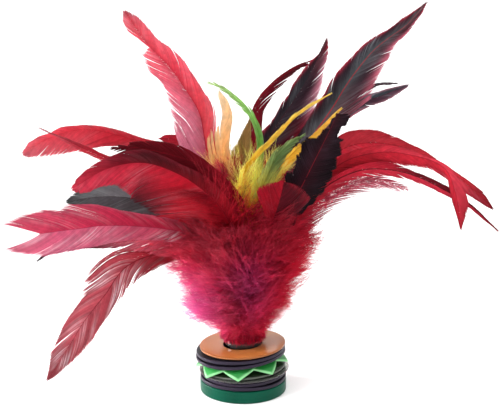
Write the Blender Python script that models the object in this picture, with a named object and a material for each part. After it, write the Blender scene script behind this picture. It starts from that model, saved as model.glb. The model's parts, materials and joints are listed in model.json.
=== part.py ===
"""Kicking shuttlecock: feather bouquet in a tube that carries a stack of loose discs.

Metres, +Z up. The origin is the centre of the sole's underside.
Dimensions below are in millimetres and are turned into metres when meshes are made.
"""
import math

import bmesh
import bpy
from mathutils import Matrix, Vector

for old in list(bpy.data.objects):
    bpy.data.objects.remove(old, do_unlink=True)

MM = 0.001

# ---------------------------------------------------------------- dimensions
SOLE_R, SOLE_H = 19.0, 5.3
TUBE_R, TUBE_BORE_R, TUBE_TOP = 5.8, 5.0, 25.5
FLANGE_R, FLANGE_Z, FLANGE_H = 8.0, 2.0, 1.2
FIT = 0.3                                   # clearance between neighbours
HOLE_R = 6.6                                # hole in a loose disc
UPPER_HOLE_R = 7.4                          # hole in the shifted upper discs
TOP_HOLE_R = 8.6                            # hole in the top disc, round the collar
COLLAR_R, COLLAR_Z, COLLAR_H = 7.9, 21.1, 2.6
WASHER_R, WASHER_T = 12.0, 1.6
STAR_TEETH = 8
QUILL_W = 0.66                              # quill width
QUILL_PITCH = 1.08                          # spacing of the quills in the tube
QUILL_FOOT = 8.4                            # where the quills end in the tube
BLADE_T = 0.42                              # blade thickness of a feather
PLUMES = 10

# name: radius, mid height, thickness, lean in degrees (right side up), shift in x, hole
DISCS = {
    "lower_rubber_disc_a": (18.9, 6.45, 1.5, 0.0, 0.0, HOLE_R),
    "lower_rubber_disc_b": (18.6, 8.50, 1.4, 1.0, 0.2, HOLE_R),
    "clear_flat_disc": (19.7, 10.02, 0.5, 1.8, 0.4, HOLE_R),
    "upper_rubber_disc_b": (19.8, 16.95, 1.4, 5.0, -1.1, UPPER_HOLE_R),
    "upper_rubber_disc_a": (19.6, 18.95, 1.4, 4.4, -1.1, UPPER_HOLE_R),
    "top_disc": (18.9, 20.80, 0.8, 3.0, -0.3, TOP_HOLE_R),
}
DOME = (14.0, 3.2, 0.1)                     # crown height, lean, shift
STAR = (15.35, 5.0, -1.0)                   # mid height, lean, shift

# ---------------------------------------------------------------- materials
COLOURS = {
    "sole": ((0.012, 0.20, 0.13), 0.5),
    "black": ((0.035, 0.028, 0.04), 0.55),
    "collar": ((0.012, 0.012, 0.014), 0.35),
    "clear": ((0.75, 0.80, 0.78), 0.15),
    "star": ((0.06, 0.46, 0.13), 0.35),
    "top": ((0.62, 0.24, 0.05), 0.25),
    "steel": ((0.55, 0.55, 0.56), 0.3),
    "thread": ((0.30, 0.02, 0.03), 0.8),
    "glue": ((0.60, 0.48, 0.25), 0.4),
    "coral": ((0.75, 0.06, 0.10), 0.6),
    "red": ((0.52, 0.015, 0.03), 0.6),
    "crimson": ((0.40, 0.01, 0.025), 0.6),
    "maroon": ((0.14, 0.006, 0.012), 0.6),
    "pink": ((0.60, 0.06, 0.12), 0.6),
    "grey": ((0.06, 0.065, 0.068), 0.6),
    "blackred": ((0.022, 0.012, 0.02), 0.6),
    "peach": ((0.80, 0.36, 0.12), 0.6),
    "green": ((0.22, 0.50, 0.12), 0.6),
    "olive": ((0.25, 0.20, 0.06), 0.6),
    "yellow": ((0.90, 0.50, 0.03), 0.6),
    "dullgreen": ((0.12, 0.22, 0.08), 0.6),
    "down": ((0.42, 0.012, 0.04), 0.8),
}


def principled(name, key):
    colour, rough = COLOURS[key]
    mat = bpy.data.materials.new(name + "_material")
    mat.use_nodes = True
    bsdf = mat.node_tree.nodes["Principled BSDF"]
    bsdf.inputs["Base Color"].default_value = (*colour, 1.0)
    bsdf.inputs["Roughness"].default_value = rough
    if key == "steel":
        bsdf.inputs["Metallic"].default_value = 1.0
    if key == "clear":
        bsdf.inputs["Transmission Weight"].default_value = 0.85
    return mat


def finish(name, bm, key, centre=(0.0, 0.0, 0.0), lean=0.0, smooth=True, flat_angle=40.0):
    """Turn a bmesh drawn in millimetres into a named object in metres."""
    bmesh.ops.scale(bm, vec=(MM, MM, MM), verts=bm.verts)
    bmesh.ops.recalc_face_normals(bm, faces=bm.faces)
    mesh = bpy.data.meshes.new(name)
    for f in bm.faces:
        f.smooth = smooth
    limit = math.radians(flat_angle)
    for e in bm.edges:
        if len(e.link_faces) == 2 and e.calc_face_angle(0.0) > limit:
            e.smooth = False
    bm.to_mesh(mesh)
    bm.free()
    ob = bpy.data.objects.new(name, mesh)
    bpy.context.scene.collection.objects.link(ob)
    ob.location = Vector(centre) * MM
    ob.rotation_euler = (0.0, -math.radians(lean), 0.0)
    mesh.materials.append(principled(name, key))
    return ob


def turned(name, profile, key, steps=64, centre=(0.0, 0.0, 0.0), lean=0.0):
    """Spin a closed (r, z) outline round Z. Points with r = 0 close on the axis."""
    bm = bmesh.new()
    verts = [bm.verts.new((r, 0.0, z)) for r, z in profile]
    on_axis = profile[0][0] == 0.0 and profile[-1][0] == 0.0
    pairs = list(zip(verts, verts[1:]))
    if not on_axis:
        pairs.append((verts[-1], verts[0]))
    edges = [bm.edges.new(p) for p in pairs]
    bmesh.ops.spin(bm, geom=verts + edges, cent=(0, 0, 0), axis=(0, 0, 1),
                   angle=2 * math.pi, steps=steps, use_merge=True)
    bmesh.ops.remove_doubles(bm, verts=bm.verts, dist=1e-4)
    return finish(name, bm, key, centre, lean)


def disc_outline(outer, hole, t, edge):
    """Outline of a washer with small chamfers on its rim."""
    h = t / 2
    return [(hole, -h), (outer - edge, -h), (outer, -h + edge),
            (outer, h - edge), (outer - edge, h), (hole, h)]


# ---------------------------------------------------------------- base
UNDERCUT_R, UNDERCUT_TOP = FLANGE_R + FIT, FLANGE_Z + FLANGE_H + FIT
MOUTH_R = TUBE_R + FIT
turned("sole", [
    (0.0, 0.0), (SOLE_R - 0.45, 0.0), (SOLE_R, 0.45), (SOLE_R, SOLE_H - 0.35),
    (SOLE_R - 0.35, SOLE_H), (MOUTH_R, SOLE_H), (MOUTH_R, UNDERCUT_TOP),
    (UNDERCUT_R, UNDERCUT_TOP), (UNDERCUT_R, FLANGE_Z - FIT), (0.0, FLANGE_Z - FIT),
], "sole", steps=56)

turned("feather_tube", [
    (0.0, FLANGE_Z), (FLANGE_R, FLANGE_Z), (FLANGE_R, FLANGE_Z + FLANGE_H),
    (TUBE_R, FLANGE_Z + FLANGE_H), (TUBE_R, TUBE_TOP), (TUBE_BORE_R, TUBE_TOP),
    (TUBE_BORE_R, FLANGE_Z + FLANGE_H), (0.0, FLANGE_Z + FLANGE_H),
], "collar", steps=28)

turned("glue_plug", [
    (0.0, FLANGE_Z + FLANGE_H + FIT), (TUBE_BORE_R - FIT, FLANGE_Z + FLANGE_H + FIT),
    (TUBE_BORE_R - FIT, QUILL_FOOT - FIT), (0.0, QUILL_FOOT - FIT),
], "glue", steps=20)

turned("collar_ring", [
    (TUBE_R + FIT, COLLAR_Z), (COLLAR_R - 0.4, COLLAR_Z), (COLLAR_R, COLLAR_Z + 0.5),
    (COLLAR_R, COLLAR_Z + COLLAR_H - 0.6), (COLLAR_R - 0.6, COLLAR_Z + COLLAR_H),
    (TUBE_R + FIT, COLLAR_Z + COLLAR_H),
], "collar", steps=36)

# thread: wound turns seen as rounded ridges
THREAD_Z, THREAD_TURNS, THREAD_P = COLLAR_Z + COLLAR_H + 0.35, 3, 0.44
thread = [(TUBE_R + 0.25, THREAD_Z)]
for i in range(THREAD_TURNS):
    z = THREAD_Z + i * THREAD_P
    thread += [(TUBE_R + 0.45, z), (TUBE_R + 0.68, z + THREAD_P / 2)]
thread += [(TUBE_R + 0.45, THREAD_Z + THREAD_TURNS * THREAD_P),
           (TUBE_R + 0.25, THREAD_Z + THREAD_TURNS * THREAD_P)]
turned("binding_thread", thread, "thread", steps=28)

for disc, (radius, mid, thick, lean, shift, hole) in DISCS.items():
    key = {"top_disc": "top", "clear_flat_disc": "clear"}.get(disc, "black")
    edge = 0.12 if thick < 1.0 else 0.32
    turned(disc, disc_outline(radius, hole, thick, edge), key, steps=48,
           centre=(shift, 0.0, mid), lean=lean)

turned("weight_washer", disc_outline(WASHER_R, TUBE_R + 0.4, WASHER_T, 0.25), "steel",
       steps=36, centre=(0.0, 0.0, 11.45), lean=1.8)

# clear dished disc: the crown is drawn at height 0 of its own frame
DOME_SKIN = [(HOLE_R, 0.0), (12.0, -0.4), (15.6, -1.2), (18.4, -2.6)]
under = [(r, z - 0.5) for r, z in reversed(DOME_SKIN)]
turned("clear_dome_disc", DOME_SKIN + under, "clear", steps=48,
       centre=(DOME[2], 0.0, DOME[0]), lean=DOME[1])


def star_disc():
    """Toothed disc: flat in the middle, its rim and teeth hang down."""
    per_tooth, flat_r, valley_r, tip_r, half_t = 6, 15.5, 17.3, 20.5, 0.35
    n = STAR_TEETH * per_tooth

    def droop(r):
        q = max(0.0, r - flat_r) / (tip_r - flat_r)
        return -3.9 * q ** 1.55

    def rim(i):
        k = (i % per_tooth) / per_tooth
        return valley_r + (tip_r - valley_r) * (1.0 - abs(2.0 * k - 1.0))

    bm = bmesh.new()
    rings = {}
    for level in (half_t, -half_t):
        rows = []
        for j in range(5):
            row = []
            for i in range(n):
                edge = rim(i)
                inner = [UPPER_HOLE_R, flat_r]
                r = inner[j] if j < 2 else flat_r + (edge - flat_r) * (j - 1) / 3
                a = 2 * math.pi * (i / n) + math.radians(-94.0 - 22.5)
                row.append(bm.verts.new((r * math.cos(a), r * math.sin(a), droop(r) + level)))
            rows.append(row)
        rings[level] = rows
    top, low = rings[half_t], rings[-half_t]
    for i in range(n):
        k = (i + 1) % n
        for j in range(4):
            bm.faces.new((top[j][i], top[j + 1][i], top[j + 1][k], top[j][k]))
            bm.faces.new((low[j][k], low[j + 1][k], low[j + 1][i], low[j][i]))
        bm.faces.new((top[0][k], low[0][k], low[0][i], top[0][i]))
        bm.faces.new((top[4][i], low[4][i], low[4][k], top[4][k]))
    return finish("star_disc", bm, "star", (STAR[2], 0.0, STAR[0]), STAR[1])


star_disc()

# ---------------------------------------------------------------- feathers
# Feathers are drawn on a front sheet: column, row and how far the point lies behind
# the tube's axis (mm, negative is nearer to the viewer).
SHEET_TILT = math.radians(15.5)
SHEET_D, SHEET_F = 700.0, 1626.0
SHEET_MID = Vector((3.0, 0.0, 85.0))
SHEET_CENTRE = (250.0, 203.5)
SPREAD = 0.6                                # how much the tips fan out in depth
AHEAD = Vector((0.0, math.cos(SHEET_TILT), -math.sin(SHEET_TILT)))
UPWARD = Vector((0.0, math.sin(SHEET_TILT), math.cos(SHEET_TILT)))
EYE = SHEET_MID - AHEAD * SHEET_D


def sheet(col, row, back):
    ray = (AHEAD + Vector((1, 0, 0)) * ((col - SHEET_CENTRE[0]) / SHEET_F)
           + UPWARD * ((SHEET_CENTRE[1] - row) / SHEET_F))
    return EYE + ray * ((back - EYE.y) / ray.y)


def quill_slots(count):
    """Hexagonal packing of quills, inner ones first."""
    spots = []
    for q in range(-5, 6):
        for r in range(-5, 6):
            x = QUILL_PITCH * (q + r / 2)
            y = QUILL_PITCH * r * math.sqrt(3) / 2
            spots.append((round(math.hypot(x, y), 4), round(math.atan2(y, x), 4), x, y))
    spots.sort()
    return [(x, y) for _, _, x, y in spots[:count]]


def smooth_path(points, count):
    """Centripetal spline through the points, then evenly spaced stations."""
    pts = [points[0] * 2 - points[1]] + list(points) + [points[-1] * 2 - points[-2]]
    fine = []
    for i in range(1, len(pts) - 2):
        p0, p1, p2, p3 = pts[i - 1:i + 3]
        t0 = 0.0
        t1 = t0 + max((p1 - p0).length, 1e-6) ** 0.5
        t2 = t1 + max((p2 - p1).length, 1e-6) ** 0.5
        t3 = t2 + max((p3 - p2).length, 1e-6) ** 0.5
        for k in range(16):
            t = t1 + (t2 - t1) * k / 16
            a1 = p0 * ((t1 - t) / (t1 - t0)) + p1 * ((t - t0) / (t1 - t0))
            a2 = p1 * ((t2 - t) / (t2 - t1)) + p2 * ((t - t1) / (t2 - t1))
            a3 = p2 * ((t3 - t) / (t3 - t2)) + p3 * ((t - t2) / (t3 - t2))
            b1 = a1 * ((t2 - t) / (t2 - t0)) + a2 * ((t - t0) / (t2 - t0))
            b2 = a2 * ((t3 - t) / (t3 - t1)) + a3 * ((t - t1) / (t3 - t1))
            fine.append(b1 * ((t2 - t) / (t2 - t1)) + b2 * ((t - t1) / (t2 - t1)))
    fine.append(points[-1])
    lengths = [0.0]
    for a, b in zip(fine, fine[1:]):
        lengths.append(lengths[-1] + (b - a).length)
    out, j = [], 0
    for k in range(count):
        goal = lengths[-1] * k / (count - 1)
        while j < len(lengths) - 2 and lengths[j + 1] < goal:
            j += 1
        span = max(lengths[j + 1] - lengths[j], 1e-9)
        out.append(fine[j].lerp(fine[j + 1], min(1.0, (goal - lengths[j]) / span)))
    return out, lengths[-1]


def ease(x):
    x = min(1.0, max(0.0, x))
    return x * x * (3 - 2 * x)


# name: colour, face roll in degrees, half widths left and right of travel (mm),
# start and end of the widening, start of the taper (fractions of the free length), points
FEATHERS = {
    "tall_coral_feather": ("coral", 20, 6.0, 6.8, 0.42, 0.62, 0.80, [
        (226, 235, 5), (211, 180, 10), (204.6, 139, 13), (199, 112, 15), (183, 85.7, 18),
        (172, 70, 20), (160, 57, 22), (148, 45, 24), (136, 28, 26), (124, 10, 28)]),
    "upper_left_feather": ("red", 15, 3.4, 4.4, 0.62, 0.74, 0.82, [
        (240, 225, 12), (228, 178, 17), (200, 156, 21), (170, 147, 25), (140, 141, 29),
        (120, 136, 32), (100, 131, 35), (80, 130, 38), (60, 134, 40), (46, 140, 41),
        (33, 147, 42), (22, 154, 42)]),
    "thin_stem_feather": ("crimson", 70, 1.3, 1.3, 0.55, 0.70, 0.84, [
        (228, 232, -1), (200, 202, 0), (168, 184, 3), (135, 169, 7), (104, 157, 11),
        (85, 149, 14), (72, 143, 16), (60, 137, 18), (41, 129, 21)]),
    "maroon_arched_feather": ("maroon", -10, 4.4, 4.0, 0.50, 0.66, 0.76, [
        (238, 222, -10), (226, 187, -13), (204, 167, -15), (178, 157, -17), (150, 150, -18),
        (130, 147, -18), (111, 148, -18)]),
    "big_red_arched_feather": ("crimson", -15, 6.0, 5.7, 0.43, 0.61, 0.82, [
        (236, 240, -17), (219, 206, -24), (192, 182, -30), (167, 169, -34), (145, 163, -37),
        (125, 164, -38.5), (104, 170, -39.5), (86, 180, -40), (72, 189, -40.5)]),
    "grey_feather": ("grey", 10, 4.6, 4.2, 0.60, 0.74, 0.86, [
        (228, 246, -5), (200, 222, -7), (165, 207, -8), (130, 198, -9), (98, 197, -10),
        (66, 202, -10)]),
    "fork_tipped_feather": ("pink", 12, 8.4, 9.6, 0.54, 0.70, 0.93, [
        (228, 256, -8), (200, 237, -14), (165, 229, -19), (140, 226.5, -22), (120, 225.6, -25),
        (99, 226, -27), (84, 228, -28), (61, 231, -30), (30, 235, -32), (12, 236, -33)]),
    "small_red_feather": ("red", 20, 2.2, 2.2, 0.42, 0.56, 0.66, [
        (226, 262, -3), (200, 244, -6), (170, 239, -9), (140, 240, -11), (108, 244, -12),
        (75, 246, -13), (50, 252, -14), (37, 261, -14)]),
    "drooping_left_feather": ("crimson", -8, 6.0, 5.6, 0.50, 0.64, 0.84, [
        (222, 268, -1), (200, 252, -1), (180, 248, -2), (160, 253, -3), (140, 259, -5),
        (126, 267, -6), (116, 278, -7), (107, 292, -9), (93.6, 309, -11), (82, 324.6, -13),
        (71.6, 342, -15), (62, 357, -17), (52.4, 373, -18), (46.7, 380.6, -19)]),
    "rounded_small_feather": ("maroon", 0, 2.4, 2.6, 0.68, 0.82, 0.88, [
        (238, 222, 17), (228, 186, 21), (212, 163, 24), (194, 148, 26), (176, 140, 27),
        (159, 138, 28)]),
    "peach_feather": ("peach", -25, 2.4, 2.6, 0.56, 0.72, 0.84, [
        (238, 228, 4), (229, 185, 6), (222, 158, 7), (223, 135, 8), (226, 115, 9),
        (219, 91, 10)]),
    "green_hackle": ("green", 15, 2.0, 2.2, 0.58, 0.72, 0.80, [
        (248, 225, 0), (257, 180, 0), (260, 148, 0), (258, 132, 0), (251, 115, 0),
        (238, 101, 0), (223, 89, 0), (207, 81.5, 0)]),
    "olive_feather": ("olive", -10, 3.6, 3.0, 0.58, 0.76, 0.82, [
        (242, 228, 6), (243, 190, 9), (245, 160, 11), (247, 140, 12), (250, 119, 13)]),
    "yellow_spike": ("yellow", 35, 1.3, 1.3, 0.45, 0.62, 0.78, [
        (242, 222, -6), (241, 188, -8), (246, 168, -9), (256, 156, -9.5), (267, 145, -10),
        (280, 131.6, -10.5), (293.6, 117.3, -11), (309.6, 105.7, -11), (320.4, 99.5, -11),
        (331, 93.7, -11)]),
    "dull_green_feather": ("dullgreen", 10, 2.4, 2.4, 0.62, 0.78, 0.84, [
        (254, 226, -2), (260, 195, -3), (268, 174, -3), (276, 158, -3), (288, 145, -3),
        (304, 135, -3)]),
    "yellow_back_feather": ("yellow", -8, 2.6, 2.6, 0.62, 0.76, 0.84, [
        (256, 222, 4), (263, 193, 5), (274, 173, 5.5), (290, 156, 6), (312, 136, 6.5),
        (328, 121, 7), (342, 108, 7)]),
    "tall_black_feather": ("blackred", -22, 5.6, 5.6, 0.46, 0.60, 0.74, [
        (262, 232, 10), (274, 196, 14), (291, 165, 17), (312, 136, 20), (324.5, 119.4, 22),
        (335, 104, 24), (346, 85.7, 26), (358, 69, 28), (373.5, 50.5, 30), (390, 37, 32),
        (405.6, 26, 33), (426.7, 2.3, 35)]),
    "short_black_feather": ("blackred", 12, 4.6, 4.2, 0.52, 0.68, 0.78, [
        (252, 224, 8), (258, 184, 11), (263, 155, 13), (275, 128, 15), (291, 105, 16),
        (306, 82, 17), (317, 60, 18), (327, 38.8, 19)]),
    "split_strand_feather": ("maroon", 30, 1.0, 3.0, 0.62, 0.76, 0.86, [
        (247, 215, 18), (250, 170, 22), (251, 135, 25), (254, 110, 27), (261, 97, 28),
        (271, 86, 29), (283, 75.5, 30), (297, 66.5, 31), (312, 60.5, 32)]),
    "stepped_black_feather": ("blackred", -6, 8.2, 6.6, 0.50, 0.66, 0.96, [
        (262, 252, -11), (277, 230, -14), (291, 206, -15), (303, 184, -16), (315, 160, -16),
        (326, 138, -16), (338, 113, -16)]),
    "small_black_leaf": ("blackred", 5, 2.6, 2.6, 0.74, 0.84, 0.88, [
        (272, 226, 18), (290, 188, 25), (312, 150, 31), (335, 121, 36), (357, 105, 39),
        (384, 95, 42), (409, 85, 44)]),
    "small_black_sliver": ("blackred", 40, 1.0, 1.0, 0.66, 0.80, 0.86, [
        (270, 218, 24), (290, 176, 32), (315, 135, 39), (343, 104, 45), (373, 86, 49),
        (398, 83, 52)]),
    "right_red_feather": ("red", -10, 5.6, 6.0, 0.48, 0.62, 0.74, [
        (272, 240, 4), (292, 203, 6), (316, 170, 7), (345, 148, 8), (366, 143, 9),
        (386, 144, 10), (407, 148.5, 11), (427, 157.7, 12), (444, 166.8, 13), (462, 180.6, 14),
        (480.6, 197.5, 15), (493.6, 209.7, 15)]),
    "curled_red_feather": ("red", 10, 3.8, 3.8, 0.70, 0.84, 0.88, [
        (272, 246, -5), (293, 214, -7), (318, 182, -9), (348, 160, -10), (385, 152, -11),
        (415, 156, -11), (435, 162, -11), (447, 171, -11), (453, 184, -11), (458, 204, -11),
        (460.7, 229.6, -11)]),
    "thin_edged_feather": ("crimson", 25, 1.8, 2.2, 0.62, 0.74, 0.84, [
        (278, 246, -9.5), (302, 212, -13), (330, 184, -14), (362, 170, -13), (392, 170, -11),
        (418, 177, -8.5), (448, 192, -6.5), (470, 205, -6), (499, 232, -6)]),
    "frayed_right_feather": ("crimson", -15, 3.0, 3.0, 0.56, 0.74, 0.84, [
        (276, 254, -1), (298, 226, -1), (324, 199, -1), (352, 184, -1), (380, 181, -1),
        (410, 190, -1)]),
    "front_rounded_feather": ("maroon", 0, 6.0, 5.4, 0.52, 0.74, 0.90, [
        (254, 262, -15), (266, 236, -20), (276, 212, -22), (281, 195, -22), (284, 181, -22)]),
    "back_arched_feather": ("red", 0, 5.6, 5.6, 0.50, 0.66, 0.82, [
        (246, 244, 17), (249, 212, 29), (252, 192, 45), (254, 184, 62), (256, 184, 78),
        (258, 192, 92)]),
    "back_left_feather": ("coral", 0, 5.4, 5.4, 0.52, 0.68, 0.82, [
        (232, 252, 14), (215, 226, 25), (195, 206, 38), (176, 196, 52), (160, 196, 66),
        (146, 206, 78)]),
    "back_right_feather": ("crimson", 0, 5.4, 5.4, 0.52, 0.68, 0.82, [
        (260, 250, 14), (277, 222, 25), (295, 202, 38), (310, 192, 52), (321, 192, 66),
        (328, 202, 77)]),
    "back_low_left_feather": ("pink", 0, 5.0, 5.0, 0.54, 0.70, 0.82, [
        (236, 262, 16), (226, 246, 27), (213, 236, 40), (202, 236, 54), (193, 246, 66)]),
    "back_low_right_feather": ("red", 0, 5.0, 5.0, 0.54, 0.70, 0.82, [
        (254, 262, 16), (264, 246, 27), (275, 236, 40), (283, 236, 54), (289, 246, 66)]),
}
FACE_UP = {"back_arched_feather", "back_left_feather", "back_right_feather",
           "back_low_left_feather", "back_low_right_feather"}


def seat_quills():
    """Give every feather a quill place that lies toward where the feather leaves the ball.

    Places are swapped in pairs as long as a swap brings the quills nearer to their feathers,
    so that the stems fan out without crossing."""
    names = list(FEATHERS)
    leave = []
    for name in names:
        first, second = FEATHERS[name][7][:2]
        p = sheet(*first) * 0.6 + sheet(*second) * 0.4
        leave.append((p.x, p.y))
    slots = quill_slots(37)
    seat = list(range(len(slots)))

    def cost(n, k):
        if n >= len(names):
            return 0.0
        return (leave[n][0] - 6.5 * slots[k][0]) ** 2 + (leave[n][1] - 6.5 * slots[k][1]) ** 2

    better = True
    while better:
        better = False
        for i in range(len(slots)):
            for j in range(i + 1, len(slots)):
                now = cost(i, seat[i]) + cost(j, seat[j])
                if cost(i, seat[j]) + cost(j, seat[i]) < now - 1e-6:
                    seat[i], seat[j] = seat[j], seat[i]
                    better = True
    return {name: slots[seat[i]] for i, name in enumerate(names)}


def blade(name, key, path, width_left, width_right, thickness, face, roll, camber):
    """Closed blade along a path: six-sided sections bridged one to the next."""
    bm = bmesh.new()
    rings = []
    last = len(path) - 1
    for i, p in enumerate(path):
        t = (path[min(i + 1, last)] - path[max(i - 1, 0)]).normalized()
        f = face(t) if callable(face) else face
        side = t.cross(f)
        if side.length < 1e-3:
            side = t.cross(Vector((1, 0, 0)))
        side = Matrix.Rotation(math.radians(roll), 3, t) @ side.normalized()
        up = side.cross(t).normalized()
        wl, wr, h = width_left(i), width_right(i), thickness(i) / 2
        dip = up * camber(i)
        ring = [p - side * wl - dip + up * h * 0.6, p + up * h, p + side * wr - dip + up * h * 0.6,
                p + side * wr - dip - up * h * 0.6, p - up * h, p - side * wl - dip - up * h * 0.6]
        rings.append([bm.verts.new(v) for v in ring])
    for a, b in zip(rings, rings[1:]):
        for k in range(6):
            m = (k + 1) % 6
            if k < 3:                       # diagonals match above and below
                bm.faces.new((a[k], a[m], b[m]))
                bm.faces.new((a[k], b[m], b[k]))
            else:
                bm.faces.new((a[k], a[m], b[k]))
                bm.faces.new((a[m], b[m], b[k]))
    bm.faces.new(list(reversed(rings[0])))
    bm.faces.new(rings[-1])
    return finish(name, bm, key, flat_angle=60.0)


SEATS = seat_quills()
STATIONS = 14
VIEWER = -AHEAD
for name, (key, roll, wl, wr, w0, w1, w2, points) in FEATHERS.items():
    sx, sy = SEATS[name]
    mouth = Vector((sx, sy, TUBE_TOP + 0.5))
    fan = Vector((sx * 1.75, sy * 1.75, TUBE_TOP + 9.0))
    fanned = 0.0 if name in FACE_UP else SPREAD / (len(points) - 1)
    shaft = [sheet(c, r, back * (1.0 + fanned * i)) for i, (c, r, back) in enumerate(points)]
    free, length = smooth_path([mouth, fan] + shaft, STATIONS)
    path = [Vector((sx, sy, QUILL_FOOT))] + free
    half_q = QUILL_W / 2

    def grow(i, full, w0=w0, w1=w1, w2=w2):
        s = max(0.0, (i - 1) / (STATIONS - 1))
        w = half_q + (full - half_q) * ease((s - w0) / (w1 - w0))
        if s > w2:
            w *= math.sqrt(max(0.0, 1.0 - ((s - w2) / (1.0 - w2)) ** 2)) * 0.94 + 0.06
        return w

    def thick(i, w0=w0):
        s = max(0.0, (i - 1) / (STATIONS - 1))
        return QUILL_W + (BLADE_T - QUILL_W) * ease(s / max(w0, 0.1))

    run = shaft[-1] - mouth
    across = Vector((run.y, -run.x, 0.0)).normalized()
    facing = (lambda t, across=across: across.cross(t)) if name in FACE_UP else VIEWER
    blade(name, key, path, lambda i, g=grow: g(i, wl), lambda i, g=grow: g(i, wr), thick,
          facing, roll, lambda i, g=grow: 0.10 * g(i, min(wl, wr)) - 0.10 * half_q)

# ---------------------------------------------------------------- down plumes
# The ball of down is fuller and lower on the left than on the right.
PLUME_SLOT_R = QUILL_PITCH * 4 - 0.02
for k in range(PLUMES):
    az = 2 * math.pi * (k + 0.5) / PLUMES
    out = Vector((math.cos(az), math.sin(az), 0.0))
    full = 0.5 - 0.5 * math.cos(az)             # 1 on the left, 0 on the right
    foot = out * PLUME_SLOT_R
    stem = [foot + Vector((0, 0, TUBE_TOP + 0.4)), out * 6.6 + Vector((0, 0, TUBE_TOP + 3.0))]
    body = [(10.5 + 1.5 * full, 33.5 - 0.8 * full), (15.0 + 3.0 * full, 40.5 - 2.0 * full),
            (20.0 + 3.5 * full, 48.0 - 2.0 * full), (25.0 + 3.5 * full, 56.0 - 1.5 * full)]
    path, _ = smooth_path(stem + [out * r + Vector((0, 0, z)) for r, z in body], 11)
    path = [Vector((foot.x, foot.y, QUILL_FOOT))] + path

    def span(i, path=path):
        p = path[i]
        r = math.hypot(p.x, p.y)
        s = max(0.0, (i - 1) / 10)
        w = QUILL_W / 2 + (0.27 * r - QUILL_W / 2) * ease((r - 5.0) / 3.5)
        if s > 0.86:
            w *= 0.3 + 0.7 * math.sqrt(max(0.0, 1.0 - ((s - 0.86) / 0.14) ** 2))
        return w

    def plump(i, path=path):
        r = math.hypot(path[i].x, path[i].y)
        return QUILL_W + (2.0 - QUILL_W) * ease((r - 5.5) / 4.0) * (0.45 if i == 11 else 1.0)

    blade("down_plume_%02d" % (k + 1), "down", path, span, span, plump,
          out + Vector((0, 0, -0.35)), 0.0, lambda i: 0.0)
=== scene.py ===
"""Looks of a kicking shuttlecock: barbed feathers, a ball of down and a stack of discs.

Lengths are in millimetres here and are turned into metres when a mesh is made.
"""
import json
import math

import bpy
import numpy as np
from mathutils import Matrix, Vector

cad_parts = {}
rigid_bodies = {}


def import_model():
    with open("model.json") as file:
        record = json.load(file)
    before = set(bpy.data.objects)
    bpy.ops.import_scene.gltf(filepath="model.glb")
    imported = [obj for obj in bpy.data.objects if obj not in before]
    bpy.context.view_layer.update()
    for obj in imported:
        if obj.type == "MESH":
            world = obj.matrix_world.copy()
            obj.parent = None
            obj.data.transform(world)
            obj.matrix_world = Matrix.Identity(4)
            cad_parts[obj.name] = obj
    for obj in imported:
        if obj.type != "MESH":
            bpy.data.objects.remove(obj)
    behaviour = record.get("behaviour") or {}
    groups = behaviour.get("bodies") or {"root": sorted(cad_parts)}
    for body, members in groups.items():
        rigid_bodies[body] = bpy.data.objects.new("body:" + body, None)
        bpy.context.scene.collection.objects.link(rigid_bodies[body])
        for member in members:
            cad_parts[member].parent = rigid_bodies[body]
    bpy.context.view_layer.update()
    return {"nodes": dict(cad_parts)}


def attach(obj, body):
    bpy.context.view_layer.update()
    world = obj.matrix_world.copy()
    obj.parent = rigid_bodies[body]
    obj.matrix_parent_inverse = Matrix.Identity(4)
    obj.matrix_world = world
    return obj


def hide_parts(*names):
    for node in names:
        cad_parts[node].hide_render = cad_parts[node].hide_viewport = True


for old in list(bpy.data.objects):
    bpy.data.objects.remove(old, do_unlink=True)

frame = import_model()
MM = 0.001

# ---------------------------------------------------------------- front sheet
TILT = math.radians(15.5)
EYE_D, EYE_F = 700.0, 1626.0
AIM = np.array((3.0, 0.0, 85.0))
MID = (250.0, 203.5)
AHEAD = np.array((0.0, math.cos(TILT), -math.sin(TILT)))
UPWARD = np.array((0.0, math.sin(TILT), math.cos(TILT)))
EYE = AIM - AHEAD * EYE_D
SPREAD = 0.6
TUBE_TOP = 25.5


def sheet(col, row, back):
    """Point of the front sheet at a depth behind the tube's axis."""
    ray = AHEAD + np.array((1.0, 0, 0)) * ((col - MID[0]) / EYE_F) + UPWARD * ((MID[1] - row) / EYE_F)
    return EYE + ray * ((back - EYE[1]) / ray[1])


def to_sheet(p):
    d = p - EYE
    depth = d @ AHEAD
    return np.stack([MID[0] + EYE_F * d[..., 0] / depth, MID[1] - EYE_F * (d @ UPWARD) / depth], -1)


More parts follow.
